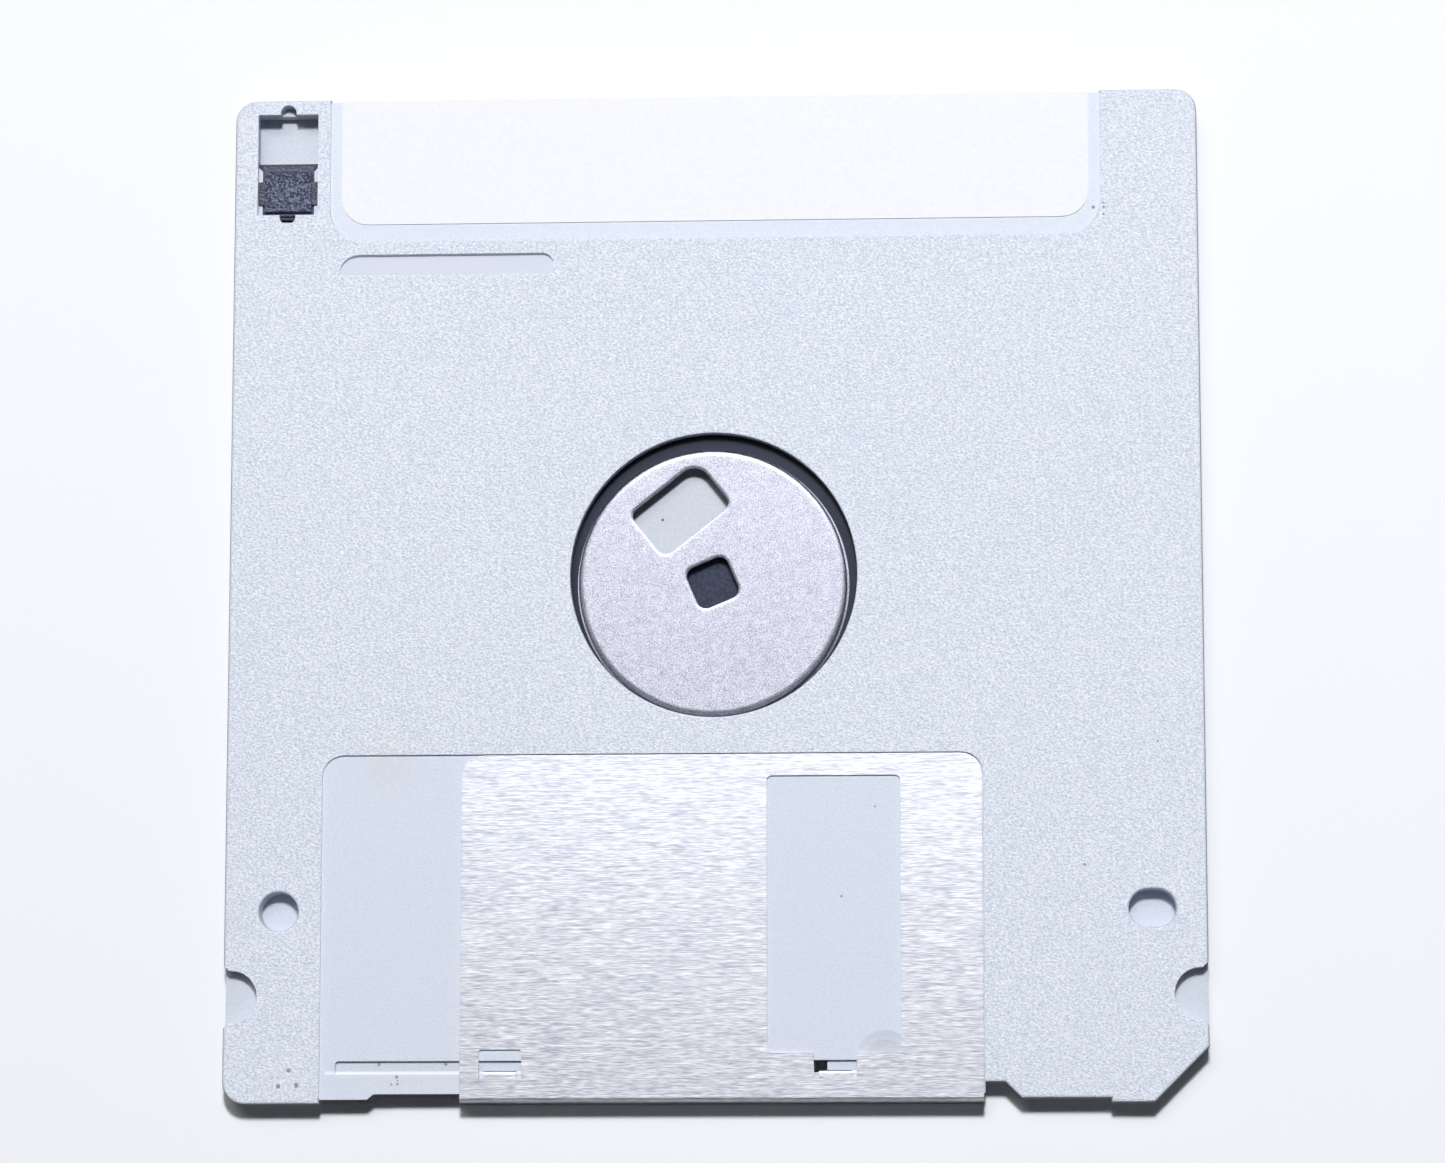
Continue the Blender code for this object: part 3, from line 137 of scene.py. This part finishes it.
class Paint:
    """A material's node tree, with short calls for the nodes that the materials share."""

    def __init__(self, name, colour, roughness, metallic=0.0):
        self.material = bpy.data.materials.new(name)
        self.material.use_nodes = True
        self.tree = self.material.node_tree
        self.shader = self.tree.nodes["Principled BSDF"]
        self.shader.inputs["Base Color"].default_value = colour
        self.shader.inputs["Roughness"].default_value = roughness
        self.shader.inputs["Metallic"].default_value = metallic
        self.place = self.add("ShaderNodeTexCoord").outputs["Object"]

    def add(self, kind, **settings):
        node = self.tree.nodes.new(kind)
        for name, value in settings.items():
            setattr(node, name, value)
        return node

    def put(self, socket, value):
        if isinstance(value, bpy.types.NodeSocket):
            self.tree.links.new(value, socket)
        else:
            socket.default_value = value

    def maths(self, kind, *values):
        node = self.add("ShaderNodeMath", operation=kind)
        for socket, value in zip(node.inputs, values):
            self.put(socket, value)
        return node.outputs[0]

    def times(self, *values):
        total = values[0]
        for value in values[1:]:
            total = self.maths("MULTIPLY", total, value)
        return total

    def part(self, axis):
        """One coordinate of the place, in metres."""
        split = self.add("ShaderNodeSeparateXYZ")
        self.put(split.inputs[0], self.place)
        return split.outputs[axis]

    def stretched(self, scale, shift=(0.0, 0.0, 0.0)):
        node = self.add("ShaderNodeMapping")
        self.put(node.inputs["Vector"], self.place)
        node.inputs["Scale"].default_value = scale
        node.inputs["Location"].default_value = shift
        return node.outputs[0]

    def noise(self, scale, detail=2.0, stretch=None, shift=(0.0, 0.0, 0.0)):
        """Noise whose features are 1 / scale metres across."""
        node = self.add("ShaderNodeTexNoise")
        self.put(node.inputs["Vector"], self.stretched(stretch or (1.0, 1.0, 1.0), shift))
        node.inputs["Scale"].default_value = scale
        node.inputs["Detail"].default_value = detail
        return node.outputs[0]

    def ramp(self, value, low, high, to_low=0.0, to_high=1.0):
        node = self.add("ShaderNodeMapRange", interpolation_type="SMOOTHSTEP")
        for socket, number in zip(node.inputs, (value, low, high, to_low, to_high)):
            self.put(socket, number)
        return node.outputs[0]

    def mix(self, share, first, second):
        node = self.add("ShaderNodeMix", data_type="RGBA")
        first_socket, second_socket = [one for one in node.inputs if one.enabled][1:]
        self.put(node.inputs["Factor"], share)
        self.put(first_socket, first)
        self.put(second_socket, second)
        return next(one for one in node.outputs if one.enabled)

    def near(self, x, y, radius, soft):
        """1 within a radius of a place seen from above, falling to 0 over the soft width."""
        across = self.maths("SUBTRACT", self.part(0), x)
        along = self.maths("SUBTRACT", self.part(1), y)
        squares = self.maths("ADD", self.times(across, across), self.times(along, along))
        return self.ramp(self.maths("SQRT", squares), radius, radius + soft, 1.0, 0.0)

    def specks(self, cell, size, chance, shift=(0.0, 0.0, 0.0)):
        """1 on scattered specks, at most one in each cell."""
        node = self.add("ShaderNodeTexVoronoi")
        node.inputs["Scale"].default_value = 1.0 / cell
        self.put(node.inputs["Vector"], self.stretched((1.0, 1.0, 0.0), shift))
        pick = self.add("ShaderNodeSeparateColor")
        self.put(pick.inputs[0], node.outputs["Color"])
        wide = self.times(pick.outputs[1], size / cell)
        dot = self.maths("LESS_THAN", node.outputs["Distance"], wide)
        return self.times(dot, self.maths("LESS_THAN", pick.outputs[0], chance))

    def inside(self, left, right, front, rear):
        """1 within a rectangle seen from above."""
        x, y = self.part(0), self.part(1)
        across = self.times(self.maths("GREATER_THAN", x, left), self.maths("LESS_THAN", x, right))
        along = self.times(self.maths("GREATER_THAN", y, front), self.maths("LESS_THAN", y, rear))
        return self.times(across, along)

    def soft_edges(self, radius):
        """Normals as if the sharp edges were rounded."""
        node = self.add("ShaderNodeBevel", samples=4)
        node.inputs["Radius"].default_value = radius
        return node.outputs[0]

    def bump(self, height, depth, strength=1.0, under=None):
        node = self.add("ShaderNodeBump")
        node.inputs["Distance"].default_value = depth
        node.inputs["Strength"].default_value = strength
        self.put(node.inputs["Height"], height)
        if under is not None:
            self.put(node.inputs["Normal"], under)
        return node.outputs[0]

    def use(self, colour=None, roughness=None, normal=None):
        for name, value in (("Base Color", colour), ("Roughness", roughness), ("Normal", normal)):
            if value is not None:
                self.put(self.shader.inputs[name], value)
        return self.material


# Materials


# Left, right, front and rear of the finger ramp and of the painted highlight along the guide groove's lip
FINGER_RAMP = (-35.6 * MM, -14.0 * MM, 29.3 * MM, 32.3 * MM)
GROOVE_LIP_HIGHLIGHT = (-35.6 * MM, 21.0 * MM, -44.32 * MM, -44.02 * MM)
# Place, reach, cell, speck size and chance of the dirt on the hub side, in millimetres
DIRTY_SPOTS = (
    (-39.0, -45.4, 2.2, 0.75, 0.3, 0.45),
    (-29.3, -43.8, 1.4, 0.6, 0.22, 0.4),
    (-25.0, -43.8, 0.7, 0.5, 0.2, 0.45),
    (33.9, -24.6, 2.4, 0.8, 0.2, 0.35),
    (41.8, -14.5, 1.0, 0.5, 0.2, 0.4),
    (35.8, 35.5, 0.8, 0.5, 0.22, 0.4),
    (10.0, -24.0, 6.5, 1.7, 0.17, 0.4),
)
DIRT_IN_SLOT = (-4.86 * MM, 7.1 * MM)
SMUDGE = (-29.8 * MM, -15.9 * MM)


def plain_case(paint, height, ramp):
    """The case's colour without grain: its faces, recesses and label seat, with painted shade on its insides
    and on the finger ramp.
    """
    cloud = paint.noise(18.0, 2.0)
    colour = paint.mix(paint.ramp(cloud, 0.3, 0.7), srgb(216, 223, 238), srgb(221, 228, 242))
    recess = paint.ramp(height, 1.40 * MM, 1.43 * MM, 1.0, 0.0)
    colour = paint.mix(recess, colour, srgb(214, 221, 236))
    # The floors of holes, notches and wells inside the case are painted darker: painted shade in the hollows
    hollow_shade = paint.ramp(height, 1.2 * MM, 1.22 * MM, 1.0, 0.0)
    colour = paint.mix(hollow_shade, colour, srgb(203, 210, 222))
    below_face = paint.times(
        paint.ramp(height, 1.43 * MM, 1.44 * MM), paint.ramp(height, 1.60 * MM, 1.50 * MM)
    )
    seat = paint.times(paint.ramp(paint.part(1), 31.0 * MM, 32.6 * MM), below_face)
    colour = paint.mix(seat, colour, srgb(220, 227, 242))
    # The finger ramp is painted darker: partly its smooth plastic, partly painted shade on its slope
    return paint.mix(ramp, colour, srgb(200, 206, 220))


def dirty(paint, colour, hub_side):
    """Dirt specks on the hub side, one speck in the drive slot, and a brownish smudge."""
    dirt = paint.specks(4.5 * MM, 0.14 * MM, 0.10)
    for x, y, reach, cell, size, chance in DIRTY_SPOTS:
        spot = paint.near(x * MM, y * MM, reach * MM, 0.2 * MM)
        specks = paint.specks(cell * MM, size * MM, chance, (x / 90, y / 70, 0.0))
        dirt = paint.maths("MAXIMUM", dirt, paint.times(specks, spot))
    colour = paint.mix(paint.times(dirt, hub_side, 0.75), colour, srgb(104, 106, 118))
    speck = paint.near(*DIRT_IN_SLOT, 0.08 * MM, 0.1 * MM)
    colour = paint.mix(paint.times(speck, 0.9), colour, srgb(58, 60, 74))
    smudge = paint.times(paint.near(*SMUDGE, 1.0 * MM, 2.6 * MM), paint.noise(900.0))
    return paint.mix(paint.times(smudge, 0.35), colour, srgb(205, 200, 190))


def case_plastic():
    paint = Paint("case_plastic", srgb(218, 225, 240), 0.42)
    height = paint.maths("ABSOLUTE", paint.maths("SUBTRACT", paint.part(2), MIDDLE))
    hub_side = paint.ramp(paint.part(2), 2.5 * MM, 2.6 * MM)
    # Mask of the finger ramp, which gets less grain and a darker colour that is partly painted shade
    ramp = paint.times(paint.inside(*FINGER_RAMP), paint.ramp(height, 1.64 * MM, 1.60 * MM))
    fine = paint.noise(1.0, 2.0, stretch=(3900.0, 5400.0, 4600.0))
    sparks = paint.noise(1.0, 1.0, stretch=(5200.0, 8200.0, 6400.0), shift=(0.3, 0.1, 0.2))
    grain = paint.maths("ADD", paint.times(fine, 0.6), paint.times(sparks, 0.4))
    grainy = paint.ramp(height, 1.50 * MM, 1.62 * MM, 0.2, 1.0)
    grainy = paint.times(grainy, paint.maths("SUBTRACT", 1.0, paint.times(ramp, 0.8)))
    speckled = paint.mix(paint.ramp(grain, 0.3, 0.7), srgb(179, 190, 214), srgb(247, 251, 255))
    colour = paint.mix(paint.times(grainy, 0.75), plain_case(paint, height, ramp), speckled)
    # A pale line along the groove's lip on the hub side: a painted highlight where the lip catches the light
    lip_highlight = paint.times(paint.inside(*GROOVE_LIP_HIGHLIGHT), hub_side)
    colour = paint.mix(paint.times(lip_highlight, 0.8), colour, srgb(246, 249, 255))
    rough = paint.ramp(grain, 0.3, 0.7, 0.5, 0.34)
    relief = paint.bump(paint.times(grain, grainy), 0.11 * MM, 1.0, paint.soft_edges(0.07 * MM))
    return paint.use(dirty(paint, colour, hub_side), rough, relief)


def brushed_steel():
    paint = Paint("brushed_steel", srgb(226, 231, 244), 0.4, 1.0)
    hair = paint.noise(1.0, 3.0, stretch=(1000.0, 15000.0, 15000.0))
    streak = paint.noise(1.0, 5.0, stretch=(260.0, 5200.0, 5200.0), shift=(0.2, 0.5, 0.1))
    both = paint.maths("ADD", paint.times(hair, 0.65), paint.times(streak, 0.35))
    tone = paint.ramp(both, 0.3, 0.7)
    colour = paint.mix(tone, srgb(174, 178, 198), srgb(249, 251, 255))
    rough = paint.ramp(both, 0.3, 0.7, 0.28, 0.38)
    return paint.use(colour, rough, paint.bump(both, 0.005 * MM, 1.0, paint.soft_edges(0.05 * MM)))


def hub_steel():
    paint = Paint("hub_steel", srgb(214, 216, 233), 0.4, 1.0)
    speckle = paint.noise(8000.0, 1.0)
    blotch = paint.noise(1300.0, 3.0, shift=(0.1, 0.3, 0.0))
    both = paint.maths("ADD", paint.times(speckle, 0.8), paint.times(blotch, 0.2))
    tone = paint.ramp(both, 0.25, 0.75)
    colour = paint.mix(tone, srgb(136, 137, 158), srgb(214, 216, 227))
    return paint.use(colour, paint.ramp(both, 0.3, 0.7, 0.34, 0.46), paint.bump(both, 0.01 * MM, 0.8))


def label_paper():
    paint = Paint("label_paper", srgb(246, 247, 252), 0.8)
    fibre = paint.noise(2600.0, 4.0)
    cloud = paint.noise(220.0, 2.0)
    colour = paint.mix(paint.ramp(fibre, 0.3, 0.7), srgb(241, 242, 248), srgb(245, 246, 251))
    colour = paint.mix(paint.ramp(cloud, 0.3, 0.7, 0.0, 0.3), colour, srgb(243, 244, 249))
    dirt = paint.specks(4.0 * MM, 0.12 * MM, 0.16, (0.7, 0.3, 0.0))
    colour = paint.mix(paint.times(dirt, 0.6), colour, srgb(140, 140, 146))
    return paint.use(colour, 0.8, paint.bump(fibre, 0.01 * MM, 0.4))


def magnetic_film():
    paint = Paint("magnetic_film", srgb(38, 43, 55), 0.3)
    paint.shader.inputs["Specular IOR Level"].default_value = 0.25
    haze = paint.noise(60.0, 3.0)
    fine = paint.noise(5200.0, 2.0)
    colour = paint.mix(paint.ramp(haze, 0.3, 0.7), srgb(34, 40, 56), srgb(42, 49, 66))
    return paint.use(colour, paint.ramp(haze, 0.3, 0.7, 0.26, 0.36), paint.bump(fine, 0.001 * MM, 0.3))


def dark_plastic():
    """The write-protect slider, whose pad has a fine pebbled texture with partly painted highlights, and whose
    ledges are painted lighter as lit.
    """
    paint = Paint("tab_plastic", srgb(50, 57, 76), 0.35)
    pebble = paint.noise(4800.0, 1.0)
    top = paint.ramp(paint.part(2), 2.92 * MM, 2.98 * MM)
    # A band of heights below the pad, the ledges, is painted lighter than the rest of the dark plastic:
    # painted light where they catch the lamp
    lit_ledge_band = paint.times(paint.ramp(paint.part(2), 2.5 * MM, 2.56 * MM), paint.maths("SUBTRACT", 1.0, top))
    colour = paint.mix(lit_ledge_band, srgb(34, 38, 52), srgb(66, 74, 98))
    # The pad's pebbles, from dark to pale: partly their own tone, partly painted highlights on their tops
    pebble_tone_and_highlight = paint.mix(paint.ramp(pebble, 0.40, 0.68), srgb(36, 43, 64), srgb(110, 119, 146))
    colour = paint.mix(top, colour, pebble_tone_and_highlight)
    height = paint.times(pebble, paint.maths("ADD", paint.times(lit_ledge_band, 0.4), top))
    return paint.use(colour, paint.ramp(pebble, 0.3, 0.7, 0.5, 0.22), paint.bump(height, 0.14 * MM, 1.0))


def pad_plastic():
    paint = Paint("pad_plastic", srgb(52, 58, 76), 0.45)
    paint.shader.inputs["Specular IOR Level"].default_value = 0.25
    fine = paint.noise(3000.0, 2.0)
    colour = paint.mix(paint.ramp(fine, 0.35, 0.65), srgb(46, 51, 69), srgb(60, 66, 86))
    return paint.use(colour, 0.45, paint.bump(fine, 0.006 * MM, 0.5))


def liner_fabric():
    paint = Paint("liner_fabric", srgb(236, 236, 232), 0.95)
    fibres = paint.noise(1.0, 4.0, stretch=(2400.0, 700.0, 700.0))
    crossing = paint.noise(1.0, 4.0, stretch=(700.0, 2400.0, 700.0), shift=(0.5, 0.5, 0.0))
    both = paint.maths("MAXIMUM", fibres, crossing)
    colour = paint.mix(paint.ramp(both, 0.4, 0.7), srgb(222, 222, 218), srgb(243, 243, 240))
    paint.shader.inputs["Sheen Weight"].default_value = 0.2
    return paint.use(colour, 0.95, paint.bump(both, 0.05 * MM, 0.6))


def spring_wire():
    paint = Paint("spring_wire", srgb(176, 178, 184), 0.3, 1.0)
    drawn = paint.noise(1500.0, 2.0)
    colour = paint.mix(paint.ramp(drawn, 0.35, 0.65), srgb(160, 162, 168), srgb(192, 194, 200))
    return paint.use(colour, paint.ramp(drawn, 0.3, 0.7, 0.24, 0.36))


def polyester_film():
    paint = Paint("lifter_film", srgb(150, 158, 170), 0.25)
    haze = paint.noise(300.0, 2.0)
    colour = paint.mix(paint.ramp(haze, 0.3, 0.7), srgb(144, 152, 164), srgb(158, 166, 178))
    return paint.use(colour, paint.ramp(haze, 0.3, 0.7, 0.2, 0.3))


def adhesive():
    paint = Paint("adhesive", srgb(196, 180, 132), 0.6)
    mottle = paint.noise(800.0, 3.0)
    colour = paint.mix(paint.ramp(mottle, 0.3, 0.7), srgb(186, 170, 122), srgb(206, 190, 144))
    return paint.use(colour, 0.6, paint.bump(mottle, 0.01 * MM, 0.5))


def dress(node, material):
    slots = frame["nodes"][node].data.materials
    slots.clear()
    slots.append(material)


def level_faces(piece):
    """Keeps flat faces flat beside their rounded edges."""
    weigh = piece.modifiers.new("level", "WEIGHTED_NORMAL")
    weigh.keep_sharp = True


def dress_nodes():
    case = case_plastic()
    liner = liner_fabric()
    dress("hub_side_shell", case)
    dress("label_side_shell", case)
    dress("hub_side_liner", liner)
    dress("label_side_liner", liner)
    dress("liner_lifter", polyester_film())
    dress("wear_pad", pad_plastic())
    dress("label", label_paper())
    dress("shutter_spring", spring_wire())
    dress("magnetic_disk", magnetic_film())
    steel = hub_steel()
    dress("hub", steel)
    fine_hub(steel)
    dress("hub_adhesive_ring", adhesive())
    dress("shutter", brushed_steel())
    dress("write_protect_tab", dark_plastic())
    for node in ("hub_side_shell", "label_side_shell", "shutter", "label", "write_protect_tab"):
        level_faces(frame["nodes"][node])


# The hub, with rounder rims than the frame's


def arc(x, y, radius, start, end, steps):
    angles = (start + (end - start) * step / steps for step in range(steps + 1))
    return [(x + radius * math.cos(angle), y + radius * math.sin(angle)) for angle in angles]


def hole_outline(length, width, roundings, grown, along, out, turn):
    """A turned rectangle with its own rounding at each corner, grown evenly."""
    u, v = length / 2 + grown, width / 2 + grown
    points = []
    for index, (side_u, side_v, radius) in enumerate(zip((-1, 1, 1, -1), (-1, -1, 1, 1), roundings)):
        full = radius + grown
        start = math.pi + index * math.pi / 2
        points += arc(side_u * (u - full), side_v * (v - full), full, start, start + math.pi / 2, 8)
    cosine, sine = math.cos(turn), math.sin(turn)
    moved = [(along + a, out + b) for a, b in points]
    return [(HUB_X + a * cosine - b * sine, HUB_Y + a * sine + b * cosine) for a, b in moved]


def finished(name, shape):
    """The built shape as an object, its faces turned outwards."""
    bmesh.ops.recalc_face_normals(shape, faces=shape.faces)
    mesh = bpy.data.meshes.new(name)
    shape.to_mesh(mesh)
    shape.free()
    return bpy.data.objects.new(name, mesh)


def hole_cutter(name, outline_of):
    """A tool through the hub's face, flaring out over a quarter round at the top."""
    shape = bmesh.new()
    rings = []
    levels = [(HUB_RIM * share, HUB_RIM_DROP * (1 - share) ** 2) for share in SHARES]
    levels = [(0.0, TOOL_DEPTH)] + levels + [(HUB_RIM + TOOL_FLARE, -TOOL_ABOVE)]
    for grown, depth in levels:
        outline = outline_of(grown)
        rings.append([shape.verts.new((x, y, HUB_TOP - depth)) for x, y in outline])
    for lower, upper in zip(rings, rings[1:]):
        for index in range(len(lower)):
            shape.faces.new((lower[index - 1], lower[index], upper[index], upper[index - 1]))
    shape.faces.new(rings[0])
    shape.faces.new(rings[-1])
    return finished(name, shape)


def turned_cup(name):
    """The hub's section turned about its axis."""
    steep = math.atan(2 * HUB_EDGE_DROP / HUB_EDGE)
    out = HUB_RADIUS - HUB_EDGE_BEND * (1 - math.sin(steep))
    outside = [(out - HUB_EDGE * (1 - share), HUB_TOP - HUB_EDGE_DROP * share**2) for share in SHARES]
    bend = (HUB_RADIUS - HUB_EDGE_BEND, outside[-1][1] - HUB_EDGE_BEND * math.cos(steep))
    outside += arc(*bend, HUB_EDGE_BEND, math.pi / 2 - steep, 0.0, 7)[1:]
    bend = (HUB_RADIUS - HUB_BEND, HUB_TOP - HUB_BEND)
    inside = arc(*bend, HUB_BEND - HUB_SHEET, 0.0, math.pi / 2, 4)
    rim = HUB_RADIUS + HUB_FLANGE
    section = [(HUB_CORE, HUB_TOP), *outside, (HUB_RADIUS, HUB_FLANGE_TOP), (rim, HUB_FLANGE_TOP)]
    section += [(rim, HUB_FLANGE_TOP - HUB_SHEET), (HUB_RADIUS - HUB_SHEET, HUB_FLANGE_TOP - HUB_SHEET)]
    section += [*inside, (HUB_CORE, HUB_TOP - HUB_SHEET)]
    shape = bmesh.new()
    rings = []
    for step in range(HUB_STEPS):
        angle = math.tau * step / HUB_STEPS
        cosine, sine = math.cos(angle), math.sin(angle)
        rings.append([shape.verts.new((HUB_X + r * cosine, HUB_Y + r * sine, z)) for r, z in section])
    for index in range(HUB_STEPS):
        near, far = rings[index - 1], rings[index]
        for side in range(len(section)):
            shape.faces.new((near[side - 1], near[side], far[side], far[side - 1]))
    return finished(name, shape)


def fine_hub(material):
    home = bpy.context.scene.collection.objects
    cup = turned_cup("hub_face")
    square = (SPINDLE_HOLE, SPINDLE_HOLE, [SPINDLE_HOLE_ROUNDING] * 4)
    tools = [
        hole_cutter("spindle_tool", lambda grown: hole_outline(*square, grown, 0.0, 0.0, SPINDLE_HOLE_TURN)),
        hole_cutter(
            "slot_tool",
            lambda grown: hole_outline(
                *DRIVE_SLOT, DRIVE_SLOT_ROUNDINGS, grown, DRIVE_SLOT_ALONG, DRIVE_SLOT_OUT, DRIVE_SLOT_TURN
            ),
        ),
    ]
    home.link(cup)
    for tool in tools:
        home.link(tool)
        cutting = cup.modifiers.new(tool.name, "BOOLEAN")
        cutting.operation = "DIFFERENCE"
        cutting.solver = "EXACT"
        cutting.object = tool
    bpy.context.view_layer.update()
    solid = bpy.data.meshes.new_from_object(cup.evaluated_get(bpy.context.evaluated_depsgraph_get()))
    for tool in tools:
        bpy.data.objects.remove(tool)
    cup.modifiers.clear()
    cup.data = solid
    solid.shade_smooth()
    solid.set_sharp_from_angle(angle=math.radians(35.0))
    solid.materials.clear()
    solid.materials.append(material)
    level_faces(cup)
    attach(cup, "disk")
    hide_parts("hub")


# Floor, light and camera


def floor():
    """A pale floor that throws little light up, so that the part's own shadow stays deep."""
    half = FLOOR_HALF
    mesh = bpy.data.meshes.new("floor")
    corners = [(-half, -half, 0.0), (half, -half, 0.0), (half, half, 0.0), (-half, half, 0.0)]
    mesh.from_pydata(corners, [], [(0, 1, 2, 3)])
    made = bpy.data.objects.new("floor", mesh)
    bpy.context.scene.collection.objects.link(made)
    seen_colour, bounce_colour = srgb(246, 248, 254), srgb(80, 80, 82)
    paint = Paint("floor", seen_colour, 0.9)
    paint.shader.inputs["Specular IOR Level"].default_value = 0.0
    seen = paint.add("ShaderNodeLightPath").outputs["Is Camera Ray"]
    colour = paint.mix(seen, bounce_colour, seen_colour)
    far = paint.maths("SUBTRACT", 1.0, paint.near(0.0, 0.0, *FLOOR_FADE))
    glow = paint.times(seen, far)
    paint.shader.inputs["Emission Color"].default_value = (1.0, 1.0, 1.0, 1.0)
    paint.put(paint.shader.inputs["Emission Strength"], glow)
    mesh.materials.append(paint.use(paint.mix(glow, colour, (0.0, 0.0, 0.0, 1.0))))


def direction(tilt, turn):
    """A direction tilted from upright towards the rear, then turned to the right."""
    level = math.sin(tilt)
    return Vector((level * math.sin(turn), level * math.cos(turn), math.cos(tilt)))


def facing(away):
    """The rotation of a lamp or camera that looks against a direction, with the rear up."""
    across = Vector((0.0, 1.0, 0.0)).cross(away).normalized()
    return Matrix((across, away.cross(across), away)).transposed().to_euler()


def key_light():
    """A small soft lamp above the rear edge, which leaves the front side in shadow."""
    lamp = bpy.data.lights.new("key", "AREA")
    lamp.shape = "DISK"
    lamp.size = LAMP_SIZE
    lamp.energy = LAMP_POWER
    made = bpy.data.objects.new("key", lamp)
    made.visible_glossy = False
    away = direction(LAMP_TILT, LAMP_TURN)
    made.location = LAMP_DISTANCE * away
    made.rotation_euler = facing(away)
    bpy.context.scene.collection.objects.link(made)


class Sky:
    """The world's node tree, with short calls for its nodes."""

    def __init__(self):
        world = bpy.data.worlds.new("studio")
        bpy.context.scene.world = world
        world.use_nodes = True
        self.tree = world.node_tree
        self.towards = self.tree.nodes.new("ShaderNodeTexCoord").outputs["Generated"]
        self.path = self.tree.nodes.new("ShaderNodeLightPath").outputs

    def node(self, kind, *values, **settings):
        made = self.tree.nodes.new(kind)
        for name, value in settings.items():
            setattr(made, name, value)
        for socket, value in zip([one for one in made.inputs if one.enabled], values):
            if isinstance(value, bpy.types.NodeSocket):
                self.tree.links.new(value, socket)
            else:
                socket.default_value = value
        return made.outputs

    def ramp(self, value, start, end, low=0.0, high=1.0):
        values = (value, start, end, low, high)
        return self.node("ShaderNodeMapRange", *values, interpolation_type="SMOOTHSTEP")[0]

    def times(self, *values):
        total = values[0]
        for value in values[1:]:
            total = self.node("ShaderNodeMath", total, value, operation="MULTIPLY")[0]
        return total

    def window(self):
        """A soft-edged rectangle high behind the part, a little to the left."""
        x, y, z = self.node("ShaderNodeSeparateXYZ", self.towards)
        rear = self.node("ShaderNodeMath", y, z, operation="DIVIDE")[0]
        side = self.node("ShaderNodeMath", x, z, operation="DIVIDE")[0]
        edges = [self.node("ShaderNodeMath", z, 0.0, operation="GREATER_THAN")[0]]
        for slope, marks in ((rear, WINDOW_REAR), (side, WINDOW_SIDE)):
            edges += [self.ramp(slope, *marks[:2]), self.ramp(slope, *marks[2:], 1.0, 0.0)]
        horizon = self.ramp(z, *HORIZON_HEIGHTS, AMBIENT + HORIZON_LIGHT, AMBIENT)
        return self.node("ShaderNodeMath", self.times(WINDOW_LIGHT, *edges), horizon, operation="ADD")[0]

    def shine(self):
        """What the metal mirrors: a bright patch behind the part, and paler walls low all round."""
        centre = direction(SHINE_TILT, 0.0)
        near = self.node("ShaderNodeVectorMath", self.towards, centre, operation="DOT_PRODUCT")["Value"]
        patch = self.ramp(near, *map(math.cos, SHINE_EDGES), 0.0, SHINE_LIGHT)
        height = self.node("ShaderNodeSeparateXYZ", self.towards)[2]
        walls = self.ramp(height, *LOW_SHINE_HEIGHTS, LOW_SHINE, SHINE)
        return self.node("ShaderNodeMath", patch, walls, operation="ADD")[0]

    def choose(self, share, first, second):
        return self.node("ShaderNodeMix", share, first, second)[0]


def sky():
    """White to the camera, with a window for the surfaces and a brighter patch for their reflections."""
    sky = Sky()
    light = sky.choose(sky.path["Is Glossy Ray"], sky.window(), sky.shine())
    light = sky.choose(sky.path["Is Transmission Ray"], light, 1.0)
    light = sky.choose(sky.path["Is Camera Ray"], light, 1.0)
    back = sky.tree.nodes["Background"]
    sky.tree.links.new(light, back.inputs["Strength"])
    back.inputs["Color"].default_value = (1.0, 1.0, 1.0, 1.0)


def camera():
    data = bpy.data.cameras.new("camera")
    data.sensor_width = SENSOR_WIDTH
    data.lens = CAMERA_FOCUS_PIXELS / IMAGE_WIDTH * SENSOR_WIDTH
    data.clip_start = 0.01
    made = bpy.data.objects.new("camera", data)
    made.location = CAMERA_PLACE
    made.rotation_euler = facing((Vector(CAMERA_PLACE) - Vector(CAMERA_AIM)).normalized())
    bpy.context.scene.collection.objects.link(made)
    bpy.context.scene.camera = made


def keep_sizes():
    """Brings the view layer up to date."""
    bpy.context.view_layer.update()


dress_nodes()
floor()
key_light()
sky()
camera()
bpy.context.scene.view_settings.view_transform = "Standard"
keep_sizes()
